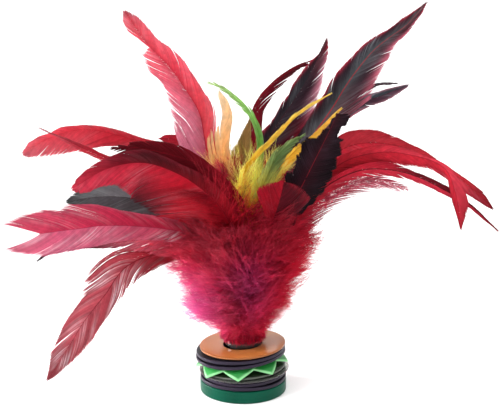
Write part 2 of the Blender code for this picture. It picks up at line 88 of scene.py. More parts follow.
def smooth_path(points, count):
    """Centripetal spline through the points, then evenly spaced stations."""
    pts = [points[0] * 2 - points[1]] + list(points) + [points[-1] * 2 - points[-2]]
    fine = []
    for i in range(1, len(pts) - 2):
        p0, p1, p2, p3 = pts[i - 1:i + 3]
        t0 = 0.0
        t1 = t0 + max(np.linalg.norm(p1 - p0), 1e-6) ** 0.5
        t2 = t1 + max(np.linalg.norm(p2 - p1), 1e-6) ** 0.5
        t3 = t2 + max(np.linalg.norm(p3 - p2), 1e-6) ** 0.5
        for t in np.linspace(t1, t2, 24, endpoint=False):
            a1 = p0 * ((t1 - t) / (t1 - t0)) + p1 * ((t - t0) / (t1 - t0))
            a2 = p1 * ((t2 - t) / (t2 - t1)) + p2 * ((t - t1) / (t2 - t1))
            a3 = p2 * ((t3 - t) / (t3 - t2)) + p3 * ((t - t2) / (t3 - t2))
            b1 = a1 * ((t2 - t) / (t2 - t0)) + a2 * ((t - t0) / (t2 - t0))
            b2 = a2 * ((t3 - t) / (t3 - t1)) + a3 * ((t - t1) / (t3 - t1))
            fine.append(b1 * ((t2 - t) / (t2 - t1)) + b2 * ((t - t1) / (t2 - t1)))
    fine.append(points[-1])
    fine = np.array(fine)
    run = np.concatenate([[0.0], np.cumsum(np.linalg.norm(np.diff(fine, axis=0), axis=1))])
    goal = np.linspace(0.0, run[-1], count)
    return np.stack([np.interp(goal, run, fine[:, k]) for k in range(3)], -1), run[-1]


def unit(v):
    return v / np.maximum(np.linalg.norm(v, axis=-1, keepdims=True), 1e-9)


def turn(v, axis, angle):
    """Rotate v round unit axes by an angle."""
    c, s = math.cos(angle), math.sin(angle)
    return v * c + np.cross(axis, v) * s + axis * (np.sum(axis * v, -1, keepdims=True) * (1 - c))


def rgb(c):
    """Linear colour of an sRGB triple of 0 to 255."""
    c = np.array(c, float) / 255.0
    return np.where(c <= 0.04045, c / 12.92, ((c + 0.055) / 1.055) ** 2.4)


def ramp(stops, u):
    """Linear colours at u from (u, sRGB) stops."""
    at = [s[0] for s in stops]
    cols = np.array([rgb(s[1]) for s in stops])
    return np.stack([np.interp(u, at, cols[:, k]) for k in range(3)], -1)


def wob(x, scale, rng):
    """Smooth noise of about -1 to 1 with features of the given length."""
    out = np.zeros_like(x)
    for k in range(5):
        f = 2 * np.pi / scale * (0.5 + 0.45 * k + 0.3 * rng.random())
        out = out + np.sin(f * x + 2 * np.pi * rng.random()) / (1 + 0.5 * k)
    return out / 2.0


def mix(a, b, k):
    return a + (b - a) * k


# ---------------------------------------------------------------- meshes
class Pile:
    """Strands gathered into one mesh: points, quads, colours and a colour map."""

    def __init__(self):
        self.co, self.quads, self.tint, self.uv, self.count = [], [], [], [], 0

    def add(self, ring, tint, uv):
        """ring is (strands, stations, corners, 3). Two corners make an open ribbon."""
        m, k, r, _ = ring.shape
        idx = self.count + np.arange(m * k * r).reshape(m, k, r)
        a, b = idx[:, :-1], idx[:, 1:]
        if r > 2:
            q = np.stack([a, np.roll(a, -1, 2), np.roll(b, -1, 2), b], -1)
        else:
            q = np.stack([a[:, :, :1], a[:, :, 1:], b[:, :, 1:], b[:, :, :1]], -1)
        self.co.append(ring.reshape(-1, 3))
        self.quads.append(q.reshape(-1, 4))
        self.tint.append(np.broadcast_to(tint[:, :, None, :], (m, k, r, 3)).reshape(-1, 3))
        self.uv.append(uv.reshape(-1, 2))
        self.count += m * k * r

    def build(self, name, material):
        co = np.concatenate(self.co) * MM
        quads = np.concatenate(self.quads)
        tint = np.concatenate(self.tint)
        uv = np.concatenate(self.uv)
        mesh = bpy.data.meshes.new(name)
        mesh.vertices.add(len(co))
        mesh.vertices.foreach_set("co", co.astype(np.float32).ravel())
        mesh.loops.add(quads.size)
        mesh.loops.foreach_set("vertex_index", quads.astype(np.int32).ravel())
        mesh.polygons.add(len(quads))
        mesh.polygons.foreach_set("loop_start", np.arange(0, quads.size, 4, dtype=np.int32))
        mesh.polygons.foreach_set("use_smooth", np.ones(len(quads), bool))
        mesh.update(calc_edges=True)
        layer = mesh.color_attributes.new("tint", "FLOAT_COLOR", "POINT")
        rgba = np.concatenate([np.clip(tint, 0.0, 1.0), np.ones((len(tint), 1))], 1)
        layer.data.foreach_set("color", rgba.astype(np.float32).ravel())
        chart = mesh.uv_layers.new(name="OFBake")
        chart.data.foreach_set("uv", uv[quads.ravel()].astype(np.float32).ravel())
        mesh.materials.append(material)
        ob = bpy.data.objects.new(name, mesh)
        bpy.context.scene.collection.objects.link(ob)
        return ob


def cells(count, rows, band):
    """Cells of the colour map: tall cells side by side, in rows inside a band of v."""
    per = -(-count // rows)
    i = np.arange(count)
    high = (band[1] - band[0]) / rows
    return (i % per) / per, 1.0 / per, band[0] + (i // per) * high, high


def cell_uv(cell, t, corners):
    """Map coordinates of strands (one per cell) with stations t and a number of corners."""
    u0, du, v0, dv = cell
    r = np.arange(corners) / max(1, corners - 1)
    u = np.broadcast_to((u0[:, None, None] + du * (0.12 + 0.76 * r)), (len(u0), t.shape[-1], corners))
    v = v0[:, None, None] + dv * (0.03 + 0.94 * np.clip(t, 0, 1)[..., None])
    return np.stack([u, np.broadcast_to(v, u.shape)], -1)


class Shaft:
    """A feather's rachis with its own frame: along, across to the right of travel, and up."""

    def __init__(self, points, face, roll, count=240, level=False):
        self.p, self.length = smooth_path(points, count)
        self.x = np.linspace(0.0, self.length, count)
        self.t = unit(np.gradient(self.p, axis=0))
        side = unit(face - self.t * (self.t @ face)[:, None]) if level else unit(np.cross(self.t, face))
        self.b = turn(side, self.t, math.radians(roll))
        self.n = unit(np.cross(self.b, self.t))

    def at(self, x):
        def pick(a):
            return np.stack([np.interp(x, self.x, a[:, k]) for k in range(3)], -1)
        p, t, b, n = pick(self.p), pick(self.t), pick(self.b), pick(self.n)
        past = np.maximum(x - self.length, 0.0)[..., None]
        return p + t * past, unit(t), unit(b), unit(n)

    def flat(self, edge):
        """Edge points of the front sheet as (run along the rachis, distance from it)."""
        x = np.linspace(0.0, self.length + 26.0, 700)
        p, _, b, _ = self.at(x)
        s = to_sheet(p)
        w = to_sheet(p + b) - s
        out = []
        for e in edge:
            d = np.array(e) - s
            cross = d[:, 0] * w[:, 1] - d[:, 1] * w[:, 0]
            y = np.abs(np.sum(d * w, 1) / np.sum(w * w, 1))
            hit = np.nonzero(np.sign(cross[:-1]) != np.sign(cross[1:]))[0]
            if len(hit):
                i = hit[np.argmin(y[hit])]
                out.append((x[i], min(y[i], 24.0)))
        return sorted(out)


def outline(shaft, spec, first, tip):
    """Reach of a vane as a function of the run along the rachis."""
    if spec[0] == "mm":
        pts = [(u * shaft.length, w) for u, w in spec[1]]
    else:
        pts = shaft.flat(spec[1])
        pts = [(first, 0.8 * pts[0][1])] + [q for q in pts if q[0] > first + 1.0]
    pts = pts + [(max(pts[-1][0] + 0.6, shaft.length + tip), 0.0)]
    px, pw = np.array(pts).T
    return lambda x: np.interp(x, px, pw)


ZERO = np.zeros(1)


def vane(pile, shaft, sgn, reach, first, last, look, rng, band):
    """One side of a feather: hundreds of barbs that end on the outline."""
    gap = look["gap"]
    lean = math.radians(np.interp(0.5 * (first + last) / shaft.length, look["ang"][0], look["ang"][1]))
    pitch = gap / math.sin(lean)
    xs = np.arange(first, last, pitch)
    xs = xs + pitch * 0.3 * (rng.random(len(xs)) - 0.5)
    m = len(xs)
    u = xs / shaft.length
    al = np.radians(np.interp(u, look["ang"][0], look["ang"][1]))
    al = al * (1 + 0.035 * wob(xs, 16.0, rng) + 0.008 * rng.standard_normal(m))
    cot = 1.0 / np.tan(al)
    lo, hi = np.zeros(m), np.full(m, 45.0)
    for _ in range(26):
        half = (lo + hi) / 2
        inside = reach(xs + half * cot) > half
        lo, hi = np.where(inside, half, lo), np.where(inside, hi, half)
    w = np.maximum(lo, 0.35)
    for side, period, depth in look["teeth"]:
        if side == sgn:
            w = np.maximum(w - depth * (((xs + w * cot) / period) % 1.0), 0.35)

    # clumps of barbs that hold together, with slits between them
    loose = np.zeros(m)
    size = np.full(m, look["clump"])
    for side, ua, ub, strength, mm in look["fray"]:
        if side == sgn:
            k = np.clip(np.minimum(u - ua, ub - u) / 0.02, 0, 1)
            loose = np.maximum(loose, strength * k)
            size = np.where(k > 0.5, mm, size)
    marks, x = [first - 1.0], first
    while x < last:
        x += np.interp(x, xs, size) * (0.55 + 0.9 * rng.random())
        marks.append(x)
    group = np.searchsorted(np.array(marks), xs) - 1
    n = group.max() + 1
    centre = np.array([xs[group == g].mean() if np.any(group == g) else 0.0 for g in range(n)])[group]
    pull = np.clip(0.02 + look["split"] * rng.random(n) ** 2, 0, 1)[group]
    pull = mix(pull, 0.92, loose)
    w = w * (1 + 0.007 * rng.standard_normal(m)) * (1 + loose * 0.28 * (rng.random(n)[group] - 0.6))
    lift = (0.25 * rng.standard_normal(n)[group]) * (1 + 3.0 * loose)
    low = np.array([xs[group == g].min() if np.any(group == g) else 0.0 for g in range(n)])[group]
    high = np.array([xs[group == g].max() if np.any(group == g) else 1.0 for g in range(n)])[group]
    # painted shade: how close each barb lies to a slit at its clump's edge
    brink = np.exp(-np.minimum(xs - low, high - xs) / (1.6 * pitch))

    k = look["steps"]
    t = np.linspace(0, 1, k)[None]
    run = (w * cot)[:, None] * t ** 1.15
    xx = xs[:, None] + run
    yy = w[:, None] * (1 - (1 - t) ** 1.2)
    opens = np.clip((t - 0.22) / 0.78, 0, 1) ** 1.4
    xx = xx + (pull * (centre - xs))[:, None] * opens
    for side, gx, wide, start in look["gaps"]:
        if side == sgn:
            d = xs - gx * shaft.length
            push = np.sign(d) * wide / 2 * np.exp(-np.abs(d) / 7.0)
            xx = xx + push[:, None] * np.clip((t - start) / (1 - start), 0, 1) ** 1.2
    dip = look["camber"]
    hh = -(dip * yy + 0.10 * dip * yy * yy) + lift[:, None] * t ** 2
    hh = hh + 0.06 * rng.standard_normal(m)[:, None] * t
    p, _, b, up = shaft.at(xx)
    pos = p + b * (sgn * yy)[..., None] + up * hh[..., None]
    along = unit(np.gradient(pos, axis=1))
    side = unit(np.cross(up, along))
    thin = 1.0 - 0.38 * loose[:, None] * t
    hw = (0.30 * gap + 0.62 * pitch * np.sin(al)[:, None]) * (1 - look["thin"] * t ** 3) * thin
    hw = np.maximum(hw * look["fat"] * np.where(t > 0.97, 0.25, 1.0), 0.02)
    tilt = 0.22
    ring = np.stack([pos - side * hw[..., None] - up * (tilt * hw)[..., None],
                     pos + side * hw[..., None] + up * (tilt * hw)[..., None],
                     pos + up * (0.05 + 0.25 * hw)[..., None]], 2)

    uu = xx / shaft.length
    tint = ramp(look["right"] if sgn > 0 else look["left"], uu)
    if look["edge"]:
        tint = mix(tint, rgb(look["edge"][0]), (look["edge"][1] * np.clip((t - 0.45) / 0.55, 0, 1) ** look["hem"])[..., None])
    for side, ua, ub, dye, strength, power in look["fringe"]:
        if side == sgn:
            k_in = np.clip(np.minimum(uu - ua, ub - uu) / 0.05, 0, 1)
            tint = mix(tint, rgb(dye), (strength * k_in * np.clip((t - 0.3) / 0.7, 0, 1) ** power)[..., None])
    # colour towards the rachis; on the black feathers the grey core is a painted highlight
    if look["core"]:
        tint = mix(tint, rgb(look["core"][0]), (look["core"][1] * (1 - t) ** 2.5)[..., None])
    tone = 0.08 * wob(xs, 2.6, rng) + 0.05 * rng.standard_normal(m) + 0.09 * wob(xs, 14.0, rng)
    tint = tint * (1 + look["streak"] * tone)[:, None, None]
    # painted shade: the outer parts of barbs darken next to the slits
    tint = tint * (1 - look["brink"] * brink[:, None] * np.clip(t * 1.6 - 0.4, 0, 1))[..., None]
    # painted highlight: pale streaks in patches along the middle of the barbs
    if look["sheen"]:
        highlight_spot = np.clip(0.3 + 0.6 * wob(xs, 24.0, rng), 0, 1) * np.clip(0.5 + 0.35 * wob(xs, 2.4, rng)
                                                                       + 0.35 * rng.standard_normal(m), 0, 1)
        highlight_spot = highlight_spot[:, None]
        bell = np.exp(-((t - 0.5 - 0.25 * wob(xs, 18.0, rng)[:, None]) / 0.32) ** 2)
        highlight_strength = look["sheen"][1] * (1.0 if len(look["sheen"]) < 3 or look["sheen"][2] == sgn else 0.25)
        tint = mix(tint, rgb(look["sheen"][0]), (highlight_strength * highlight_spot * bell)[..., None])
    cell = cells(m, 1, band)
    pile.add(ring, tint, cell_uv(cell, np.broadcast_to(t, (m, k)), 3))


def tube(pile, pts, radius, tint, band, corners=6):
    """A round stem along stations."""
    along = unit(np.gradient(pts, axis=0))
    ref = np.where(np.abs(along[:, 2:3]) > 0.9, np.array([[1.0, 0, 0]]), np.array([[0, 0, 1.0]]))
    a = unit(np.cross(along, ref))
    b = np.cross(along, a)
    ang = 2 * np.pi * np.arange(corners) / corners
    ring = pts[:, None] + radius[:, None, None] * (a[:, None] * np.cos(ang)[None, :, None]
                                                   + b[:, None] * np.sin(ang)[None, :, None])
    cell = (np.array([0.0]), 1.0, np.array([band[0]]), band[1] - band[0])
    t = np.linspace(0, 1, len(pts))[None]
    uv = cell_uv(cell, t, corners)[..., ::-1].copy()
    uv[..., 0], uv[..., 1] = (uv[..., 0] - band[0]) / (band[1] - band[0]), band[0] + uv[..., 1] * (band[1] - band[0])
    pile.add(ring[None], tint[None], uv)


def down(pile, base, way, bend, length, root, end, rng, band, rows, barbules=18, stiff=0.09, fine=0.05, fork=2.7,
         splay=0.72):
    """Downy barbs: thin curved stems, each with two soft rows of barbules."""
    m, k = len(base), 7
    t = np.linspace(0, 1, k)[None, :, None]
    cross = unit(np.cross(way, rng.standard_normal((m, 3))))
    pos = base[:, None] + length[:, None, None] * (way[:, None] * t + bend[:, None] * t ** 2)
    pos = pos + cross[:, None] * (0.5 * np.sin(5.0 * t + 6.28 * rng.random((m, 1, 1))) * t)
    along = unit(np.gradient(pos, axis=1))
    a = unit(np.cross(along, cross[:, None]))
    b = np.cross(along, a)
    r = (stiff * (1 - 0.7 * t))
    ang = 2 * np.pi * np.arange(3) / 3
    ring = np.stack([pos + (a * math.cos(q) + b * math.sin(q)) * r for q in ang], 2)
    colour = mix(root[:, None], end[:, None], t ** 1.3)
    cell = cells(m, rows, band)
    pile.add(ring, colour, cell_uv(cell, np.broadcast_to(t[..., 0], (m, k)), 3))
    if not barbules:
        return
    tb = (np.arange(barbules) + rng.random((m, barbules))) / barbules
    tb = 0.06 + 0.93 * tb
    seg = np.minimum((tb * (k - 1)).astype(int), k - 2)
    f = (tb * (k - 1) - seg)[..., None]
    rowi = np.arange(m)[:, None]
    p = pos[rowi, seg] * (1 - f) + pos[rowi, seg + 1] * f
    ta = unit(along[rowi, seg] * (1 - f) + along[rowi, seg + 1] * f)
    flip = np.where(np.arange(barbules) % 2 == 0, 1.0, -1.0)[None, :, None]
    out = a[rowi, seg] * flip + b[rowi, seg] * (0.55 * rng.standard_normal((m, barbules, 1)))
    lean = unit(0.75 * ta + splay * unit(out))
    ln = fork * (1 - 0.5 * tb) * (0.55 + 0.7 * rng.random((m, barbules)))
    q = np.linspace(0, 1, 3)[None, None, :, None]
    bar = p[:, :, None] + ln[..., None, None] * (lean[:, :, None] * q + 0.3 * ta[:, :, None] * q ** 2)
    flat = unit(np.cross(lean, rng.standard_normal((m, barbules, 3))))[:, :, None]
    hw = fine * (1 - 0.75 * q)
    ring = np.stack([bar - flat * hw, bar + flat * hw], 3).reshape(m * barbules, 3, 2, 3)
    at = np.clip(tb[..., None] + 0.25 * q[..., 0], 0, 1)
    colour = mix(root[:, None, None], end[:, None, None], (at ** 1.3)[..., None]).reshape(m * barbules, 3, 3)
    many = tuple(np.repeat(c, barbules) if isinstance(c, np.ndarray) else c for c in cell)
    uv = cell_uv(many, np.clip(at, 0, 1).reshape(m * barbules, 3), 2)
    pile.add(ring, colour, uv)


# ---------------------------------------------------------------- materials
def nodes_of(name):
    mat = bpy.data.materials.new(name)
    mat.use_nodes = True
    tree = mat.node_tree
    bsdf = tree.nodes["Principled BSDF"]
    return mat, tree, bsdf, tree.nodes["Material Output"]


def put(bsdf, **values):
    for key, value in values.items():
        bsdf.inputs[key.replace("_", " ")].default_value = value


def noise_tone(tree, scale, low, high, detail=3.0, stretch=None):
    """A grey that varies in space between low and high."""
    coord = tree.nodes.new("ShaderNodeTexCoord")
    noise = tree.nodes.new("ShaderNodeTexNoise")
    noise.inputs["Scale"].default_value = scale
    noise.inputs["Detail"].default_value = detail
    if stretch:
        mapping = tree.nodes.new("ShaderNodeMapping")
        mapping.inputs["Scale"].default_value = stretch
        tree.links.new(coord.outputs["Object"], mapping.inputs["Vector"])
        tree.links.new(mapping.outputs["Vector"], noise.inputs["Vector"])
    else:
        tree.links.new(coord.outputs["Object"], noise.inputs["Vector"])
    span = tree.nodes.new("ShaderNodeMapRange")
    span.inputs["From Min"].default_value = 0.3
    span.inputs["From Max"].default_value = 0.7
    span.inputs["To Min"].default_value = low
    span.inputs["To Max"].default_value = high
    tree.links.new(noise.outputs["Fac"], span.inputs["Value"])
    return span.outputs["Result"]


def tinted(name, scale, low, high, through, **values):
    """Colour painted on the strands, varied by noise, partly letting light through."""
    mat, tree, bsdf, out = nodes_of(name)
    attr = tree.nodes.new("ShaderNodeAttribute")
    attr.attribute_name = "tint"
    tone = noise_tone(tree, scale, low, high)
    mul = tree.nodes.new("ShaderNodeVectorMath")
    mul.operation = "SCALE"
    tree.links.new(attr.outputs["Color"], mul.inputs[0])
    tree.links.new(tone, mul.inputs["Scale"])
    tree.links.new(mul.outputs["Vector"], bsdf.inputs["Base Color"])
    put(bsdf, **values)
    if through:
        glow = tree.nodes.new("ShaderNodeBsdfTranslucent")
        tree.links.new(mul.outputs["Vector"], glow.inputs["Color"])
        both = tree.nodes.new("ShaderNodeMixShader")
        both.inputs["Fac"].default_value = through
        tree.links.new(bsdf.outputs["BSDF"], both.inputs[1])
        tree.links.new(glow.outputs["BSDF"], both.inputs[2])
        tree.links.new(both.outputs["Shader"], out.inputs["Surface"])
    return mat


SLOT_MATS = {}


def feather_material(slot):
    if slot not in SLOT_MATS:
        dark = slot in ("black_red_feather", "grey_feather", "maroon_feather")
        pale = slot in ("yellow_feather", "green_feather", "olive_feather", "dull_green_feather", "peach_feather")
        SLOT_MATS[slot] = tinted(slot + "_look", 420.0, 0.88, 1.12, 0.16 if dark else 0.60 if pale else 0.34,
                                 Roughness=0.46 if dark else 0.5, Specular_IOR_Level=0.07 if dark else 0.11)
    return SLOT_MATS[slot]


DOWN_MAT = tinted("down_look", 260.0, 0.86, 1.16, 0.50, Roughness=0.6, Specular_IOR_Level=0.10)

# ---------------------------------------------------------------- feathers
STEM = ((0.0, 0.5, 0.8, 1.0), (36.0, 27.0, 22.0, 14.0))


def look(**over):
    base = dict(gap=0.22, teeth=[], ang=STEM, clump=11.0, split=0.10, fray=[], gaps=[], steps=9, camber=0.10, thin=0.25,
                edge=None, core=None, streak=1.0, sheen=None, tip=0.8, start=0.42, stem=(120, 15, 30),
                stem_r=0.36, hem=1.5, brink=0.18, fringe=[], tuft_right=0.5, tuft_up=0.0, fat=1.0, tuft=70, tuft_len=9.5, tuft_from=0.06, tuft_to=None, tuft_way=0.62,
                tuft_dye=None, fluff=12)
    base.update(over)
    return base


# node: (slot, roll, points, left outline, right outline, look)
FEATHERS = {
    "tall_coral_feather": ("coral_feather", 20, [
        (226, 235, 5), (211, 180, 10), (204.6, 139, 13), (199, 112, 15), (183, 85.7, 18),
        (172, 70, 20), (160, 57, 22), (148, 45, 24), (136, 28, 26), (124, 10, 28)],
        ("px", [(182, 146), (177, 134), (175, 124), (173, 112), (169, 98), (165, 86), (158, 77), (149, 69.5), (144, 60),
                (142.5, 53), (149.5, 47.5), (143, 42), (135, 35), (127, 29.5), (124, 24), (122.5, 19)]),
        ("px", [(216, 140), (216, 119), (213, 101), (205.5, 92), (199, 81), (190, 68), (180, 55), (167, 43),
                (156, 36), (149, 27), (139.5, 17), (131, 12.5)]),
        look(left=[(0.35, (185, 45, 75)), (0.55, (212, 122, 148)), (0.68, (228, 112, 136)), (0.8, (233, 86, 106)),
                   (0.95, (236, 98, 112)), (1.02, (150, 54, 64))],
             right=[(0.35, (190, 32, 54)), (0.46, (242, 96, 104)), (0.58, (242, 88, 100)), (0.75, (232, 70, 90)), (0.93, (236, 92, 106)),
                    (1.02, (140, 48, 58))],
             edge=((246, 160, 178), 0.3), start=0.34, sheen=((246, 196, 210), 0.3),
             stem=[(0.3, (160, 16, 38)), (0.62, (176, 26, 46)), (0.85, (206, 58, 76)), (1.0, (196, 60, 72))],
             fray=[(-1, 0.34, 0.56, 0.22, 9.0)], gaps=[(-1, 0.775, 1.6, 0.25), (1, 0.80, 1.0, 0.7),
                                                       (-1, 0.90, 0.8, 0.2), (1, 0.62, 0.7, 0.7),
                                                       (-1, 0.60, 1.2, 0.5), (-1, 0.52, 1.5, 0.35),
                                                       (-1, 0.45, 1.5, 0.3)],
             ang=((0.0, 0.5, 0.7, 0.9, 1.0), (18.0, 18.0, 22.0, 22.0, 14.0)), core=((172, 20, 40), 0.6),
             streak=0.55, brink=0.12, stem_r=0.3)),
    "upper_left_feather": ("red_feather", 15, [
        (240, 225, 12), (228, 178, 17), (200, 156, 21), (170, 147, 25), (140, 141, 29),
        (120, 136, 32), (100, 131, 35), (80, 130, 38), (60, 134, 40), (46, 140, 41),
        (33, 147, 42), (22, 154, 42)],
        ("px", [(140, 148), (120, 145), (100, 145), (90, 147), (79, 151), (65, 153), (48, 156), (36, 157), (27, 158)]),
        ("px", [(160, 142), (143, 138), (120, 130), (110, 127.5), (96, 125), (75, 125.5), (60, 127), (50, 133),
                (37, 137), (27, 143)]),
        look(left=[(0.5, (150, 16, 32)), (0.72, (176, 30, 46)), (0.9, (206, 62, 78)), (1.02, (190, 92, 104))],
             right=[(0.5, (138, 12, 28)), (0.7, (168, 24, 40)), (0.9, (196, 44, 60)), (1.02, (186, 84, 96))],
             start=0.50, tuft_to=0.46, fray=[(-1, 0.66, 1.0, 0.20, 3.2)], stem=(140, 14, 28), edge=((226, 104, 118), 0.25),
             sheen=((236, 140, 150), 0.12), core=((176, 14, 32), 0.5), stem_r=0.3, fat=1.5)),
    "thin_stem_feather": ("crimson_feather", 35, [
        (228, 232, -1), (200, 202, 0), (168, 184, 3), (135, 169, 7), (104, 157, 11),
        (85, 149, 14), (72, 143, 16), (60, 137, 18), (41, 129, 21)],
        ("mm", [(0.50, 1.6), (0.70, 2.1), (0.83, 1.7), (0.93, 0.9), (0.98, 0.3)]),
        ("mm", [(0.50, 1.6), (0.70, 2.1), (0.83, 1.6), (0.93, 0.8), (0.98, 0.3)]),
        look(left=[(0.5, (178, 20, 42)), (0.8, (186, 28, 48)), (1.0, (170, 70, 82))],
             right=[(0.5, (168, 18, 38)), (0.8, (168, 20, 40)), (1.0, (150, 60, 72))],
             start=0.48, stem=(140, 16, 32), stem_r=0.45, ang=((0, 1.0), (14, 8)))),
    "maroon_arched_feather": ("maroon_feather", -10, [
        (238, 222, -10), (226, 187, -13), (204, 167, -15), (178, 157, -17), (150, 150, -18),
        (130, 147, -18), (111, 148, -18)],
        ("px", [(210, 206), (192, 190), (178, 180), (152, 170), (132, 161), (118, 154)]),
        ("px", [(243, 200), (227, 179), (211, 165), (198, 155.5), (188, 149.5), (178, 145), (160, 141.5), (143, 141), (122, 144)]),
        look(left=[(0.4, (128, 8, 26)), (0.7, (92, 5, 18)), (1.0, (70, 6, 16))],
             right=[(0.4, (132, 8, 26)), (0.7, (98, 5, 18)), (1.0, (66, 6, 14))],
             start=0.40, stem=(110, 10, 24), fray=[(-1, 0.74, 1.0, 0.75, 4.2), (1, 0.90, 1.0, 0.7, 4.0)],
             edge=((140, 14, 34), 0.3), sheen=((170, 40, 60), 0.2))),
    "big_red_arched_feather": ("crimson_feather", -15, [
        (236, 240, -17), (219, 206, -24), (192, 182, -30), (167, 169, -34), (145, 163, -37),
        (125, 164, -38.5), (104, 170, -39.5), (86, 180, -40), (72, 189, -40.5)],
        ("px", [(222, 268), (205, 258), (188, 247), (172, 237), (158, 226), (146, 214), (136, 203), (127, 192.5),
                (116, 186), (102, 187), (90, 192), (80, 194)]),
        ("px", [(228, 200), (214, 184), (200, 174), (180, 164), (160, 155), (145, 150), (125, 152), (102, 160),
                (86, 170), (75, 180)]),
        look(left=[(0.3, (192, 16, 40)), (0.6, (208, 22, 46)), (0.80, (198, 34, 58)), (1.02, (218, 66, 90))],
             # the dark band of this vane, from 0.60 to 0.86, is painted shade along its upper edge
             right=[(0.3, (170, 12, 34)), (0.50, (150, 8, 26)), (0.60, (112, 6, 20)), (0.68, (78, 5, 16)), (0.78, (62, 5, 15)),
                    (0.86, (112, 12, 30)), (0.93, (184, 38, 58)), (1.02, (216, 62, 86))],
             # the dark fringe from 0.54 to 0.80 is painted shade where the lower vane splits into two lobes
             fringe=[(-1, 0.54, 0.80, (78, 24, 34), 1.0, 0.8)], core=((150, 12, 32), 0.35), tuft_right=0.22,
             start=0.24, stem=(140, 14, 30), stem_r=0.24, fray=[(-1, 0.24, 0.60, 0.34, 4.0)],
             sheen=((236, 140, 154), 0.4, -1), edge=((196, 50, 74), 0.25),
             ang=((0.0, 0.3, 0.45, 0.57, 0.66, 0.735, 0.85, 1.0), (74.0, 68.0, 54.0, 43.0, 34.0, 28.0, 21.0, 14.0)),
             gaps=[(-1, 0.60, 0.8, 0.55)], streak=1.1, tuft=340, tuft_len=17.0, tuft_from=0.24,
             tuft_to=0.55, tuft_way=0.9, tuft_dye=[(0.2, (190, 18, 44)), (0.46, (190, 20, 42)), (0.55, (150, 20, 38))], fluff=16)),
    "grey_feather": ("grey_feather", 10, [
        (228, 246, -5), (200, 222, -7), (165, 207, -8), (130, 198, -9), (98, 197, -10),
        (66, 202, -10)],
        ("px", [(178, 242), (158, 235), (140, 227), (120, 220), (100, 214), (84, 209), (72, 205)]),
        ("px", [(168, 186), (150, 176), (130, 170), (110, 173), (90, 182), (74, 192)]),
        look(left=[(0.5, (80, 56, 62)), (0.75, (74, 68, 72)), (0.9, (80, 78, 82)), (1.0, (46, 48, 48))],
             right=[(0.5, (96, 76, 80)), (0.75, (112, 108, 112)), (0.9, (98, 97, 100)), (1.0, (54, 55, 56))],
             start=0.38, stem=(50, 44, 46), fray=[(-1, 0.38, 0.7, 0.12, 4.4)], sheen=((150, 160, 160), 0.4), tuft_dye=[(0.1, (150, 18, 40))])),
    "fork_tipped_feather": ("pink_feather", 12, [
        (228, 256, -8), (200, 237, -14), (165, 229, -19), (140, 226.5, -22), (120, 225.6, -25),
        (99, 226, -27), (84, 228, -28), (61, 231, -30), (30, 235, -32), (12, 236, -33)],
        ("px", [(150, 240), (135, 240), (120, 241), (100, 245), (80, 249), (60, 252.5), (41, 256), (35, 254.5),
                (12, 252), (2, 248)]),
        ("px", [(165, 217), (140, 213), (120, 209.5), (105, 205.5), (90, 203), (66, 202.5), (58, 210), (45, 208.5),
                (24, 214), (13, 219), (2, 224)]),
        look(left=[(0.4, (176, 36, 62)), (0.6, (200, 80, 108)), (0.85, (210, 98, 130)), (1.1, (224, 112, 138))],
             right=[(0.4, (170, 24, 48)), (0.6, (186, 38, 70)), (0.85, (202, 54, 88)), (1.1, (224, 98, 124))],
             start=0.40, stem=(166, 40, 68), ang=((0, 0.55, 0.8, 0.92), (36, 30, 26, 18)), ends=0.915, tip=3.5,
             fray=[(-1, 0.40, 0.58, 0.25, 7.0)], sheen=((250, 228, 236), 0.9, -1), gaps=[(1, 0.74, 1.6, 0.5)],
             edge=((224, 136, 160), 0.25), streak=1.0, brink=0.10, stem_r=0.28, tuft=150, tuft_len=13.0, tuft_from=0.2,
             tuft_to=0.5, tuft_way=0.9)),
    "small_red_feather": ("red_feather", 20, [
        (226, 262, -3), (200, 244, -6), (170, 239, -9), (140, 240, -11), (108, 244, -12),
        (75, 246, -13), (50, 252, -14), (37, 261, -14)],
        ("mm", [(0.25, 5.0), (0.44, 8.6), (0.56, 7.4), (0.64, 5.0), (0.70, 2.0), (0.90, 1.0), (0.99, 0.5)]),
        ("mm", [(0.25, 5.0), (0.44, 7.0), (0.56, 5.0), (0.64, 3.0), (0.70, 1.6), (0.90, 1.0), (0.99, 0.5)]),
        look(left=[(0.3, (186, 26, 50)), (0.5, (206, 52, 76)), (0.64, (224, 110, 130)), (0.8, (90, 40, 48)), (0.92, (50, 40, 46))],
             right=[(0.3, (186, 26, 50)), (0.5, (204, 48, 72)), (0.64, (214, 94, 116)), (0.8, (90, 40, 48)), (0.92, (50, 40, 46))],
             start=0.22, fray=[(-1, 0.42, 0.70, 0.35, 4.0)], tip=0.5, stem=(160, 26, 48), stem_r=0.2,
             ang=((0, 0.5, 1.0), (24, 17, 11)), tuft=170, tuft_len=13.0, tuft_from=0.15, tuft_to=0.56, tuft_way=1.4,
             tuft_dye=[(0.2, (180, 24, 48)), (0.6, (214, 84, 106))])),
    "drooping_left_feather": ("crimson_feather", -8, [
        (222, 268, -1), (200, 252, -1), (180, 248, -2), (160, 253, -3), (140, 259, -5),
        (126, 267, -6), (116, 278, -7), (107, 292, -9), (93.6, 309, -11), (82, 324.6, -13),
        (71.6, 342, -15), (62, 357, -17), (52.4, 373, -18), (46.7, 380.6, -19)],
        ("px", [(160, 266), (146, 275), (132, 286), (119, 301), (107, 318), (93, 340), (82, 353), (72.5, 362),
                (60, 373)]),
        ("px", [(150, 246), (136, 249), (122, 252), (106, 259), (91, 270), (84, 282), (83, 298), (73, 311),
                (61.5, 329), (52, 350), (48.5, 370)]),
        look(left=[(0.35, (164, 20, 40)), (0.52, (162, 42, 56)), (0.7, (178, 72, 84)), (0.85, (176, 78, 88)), (1.02, (124, 50, 56))],
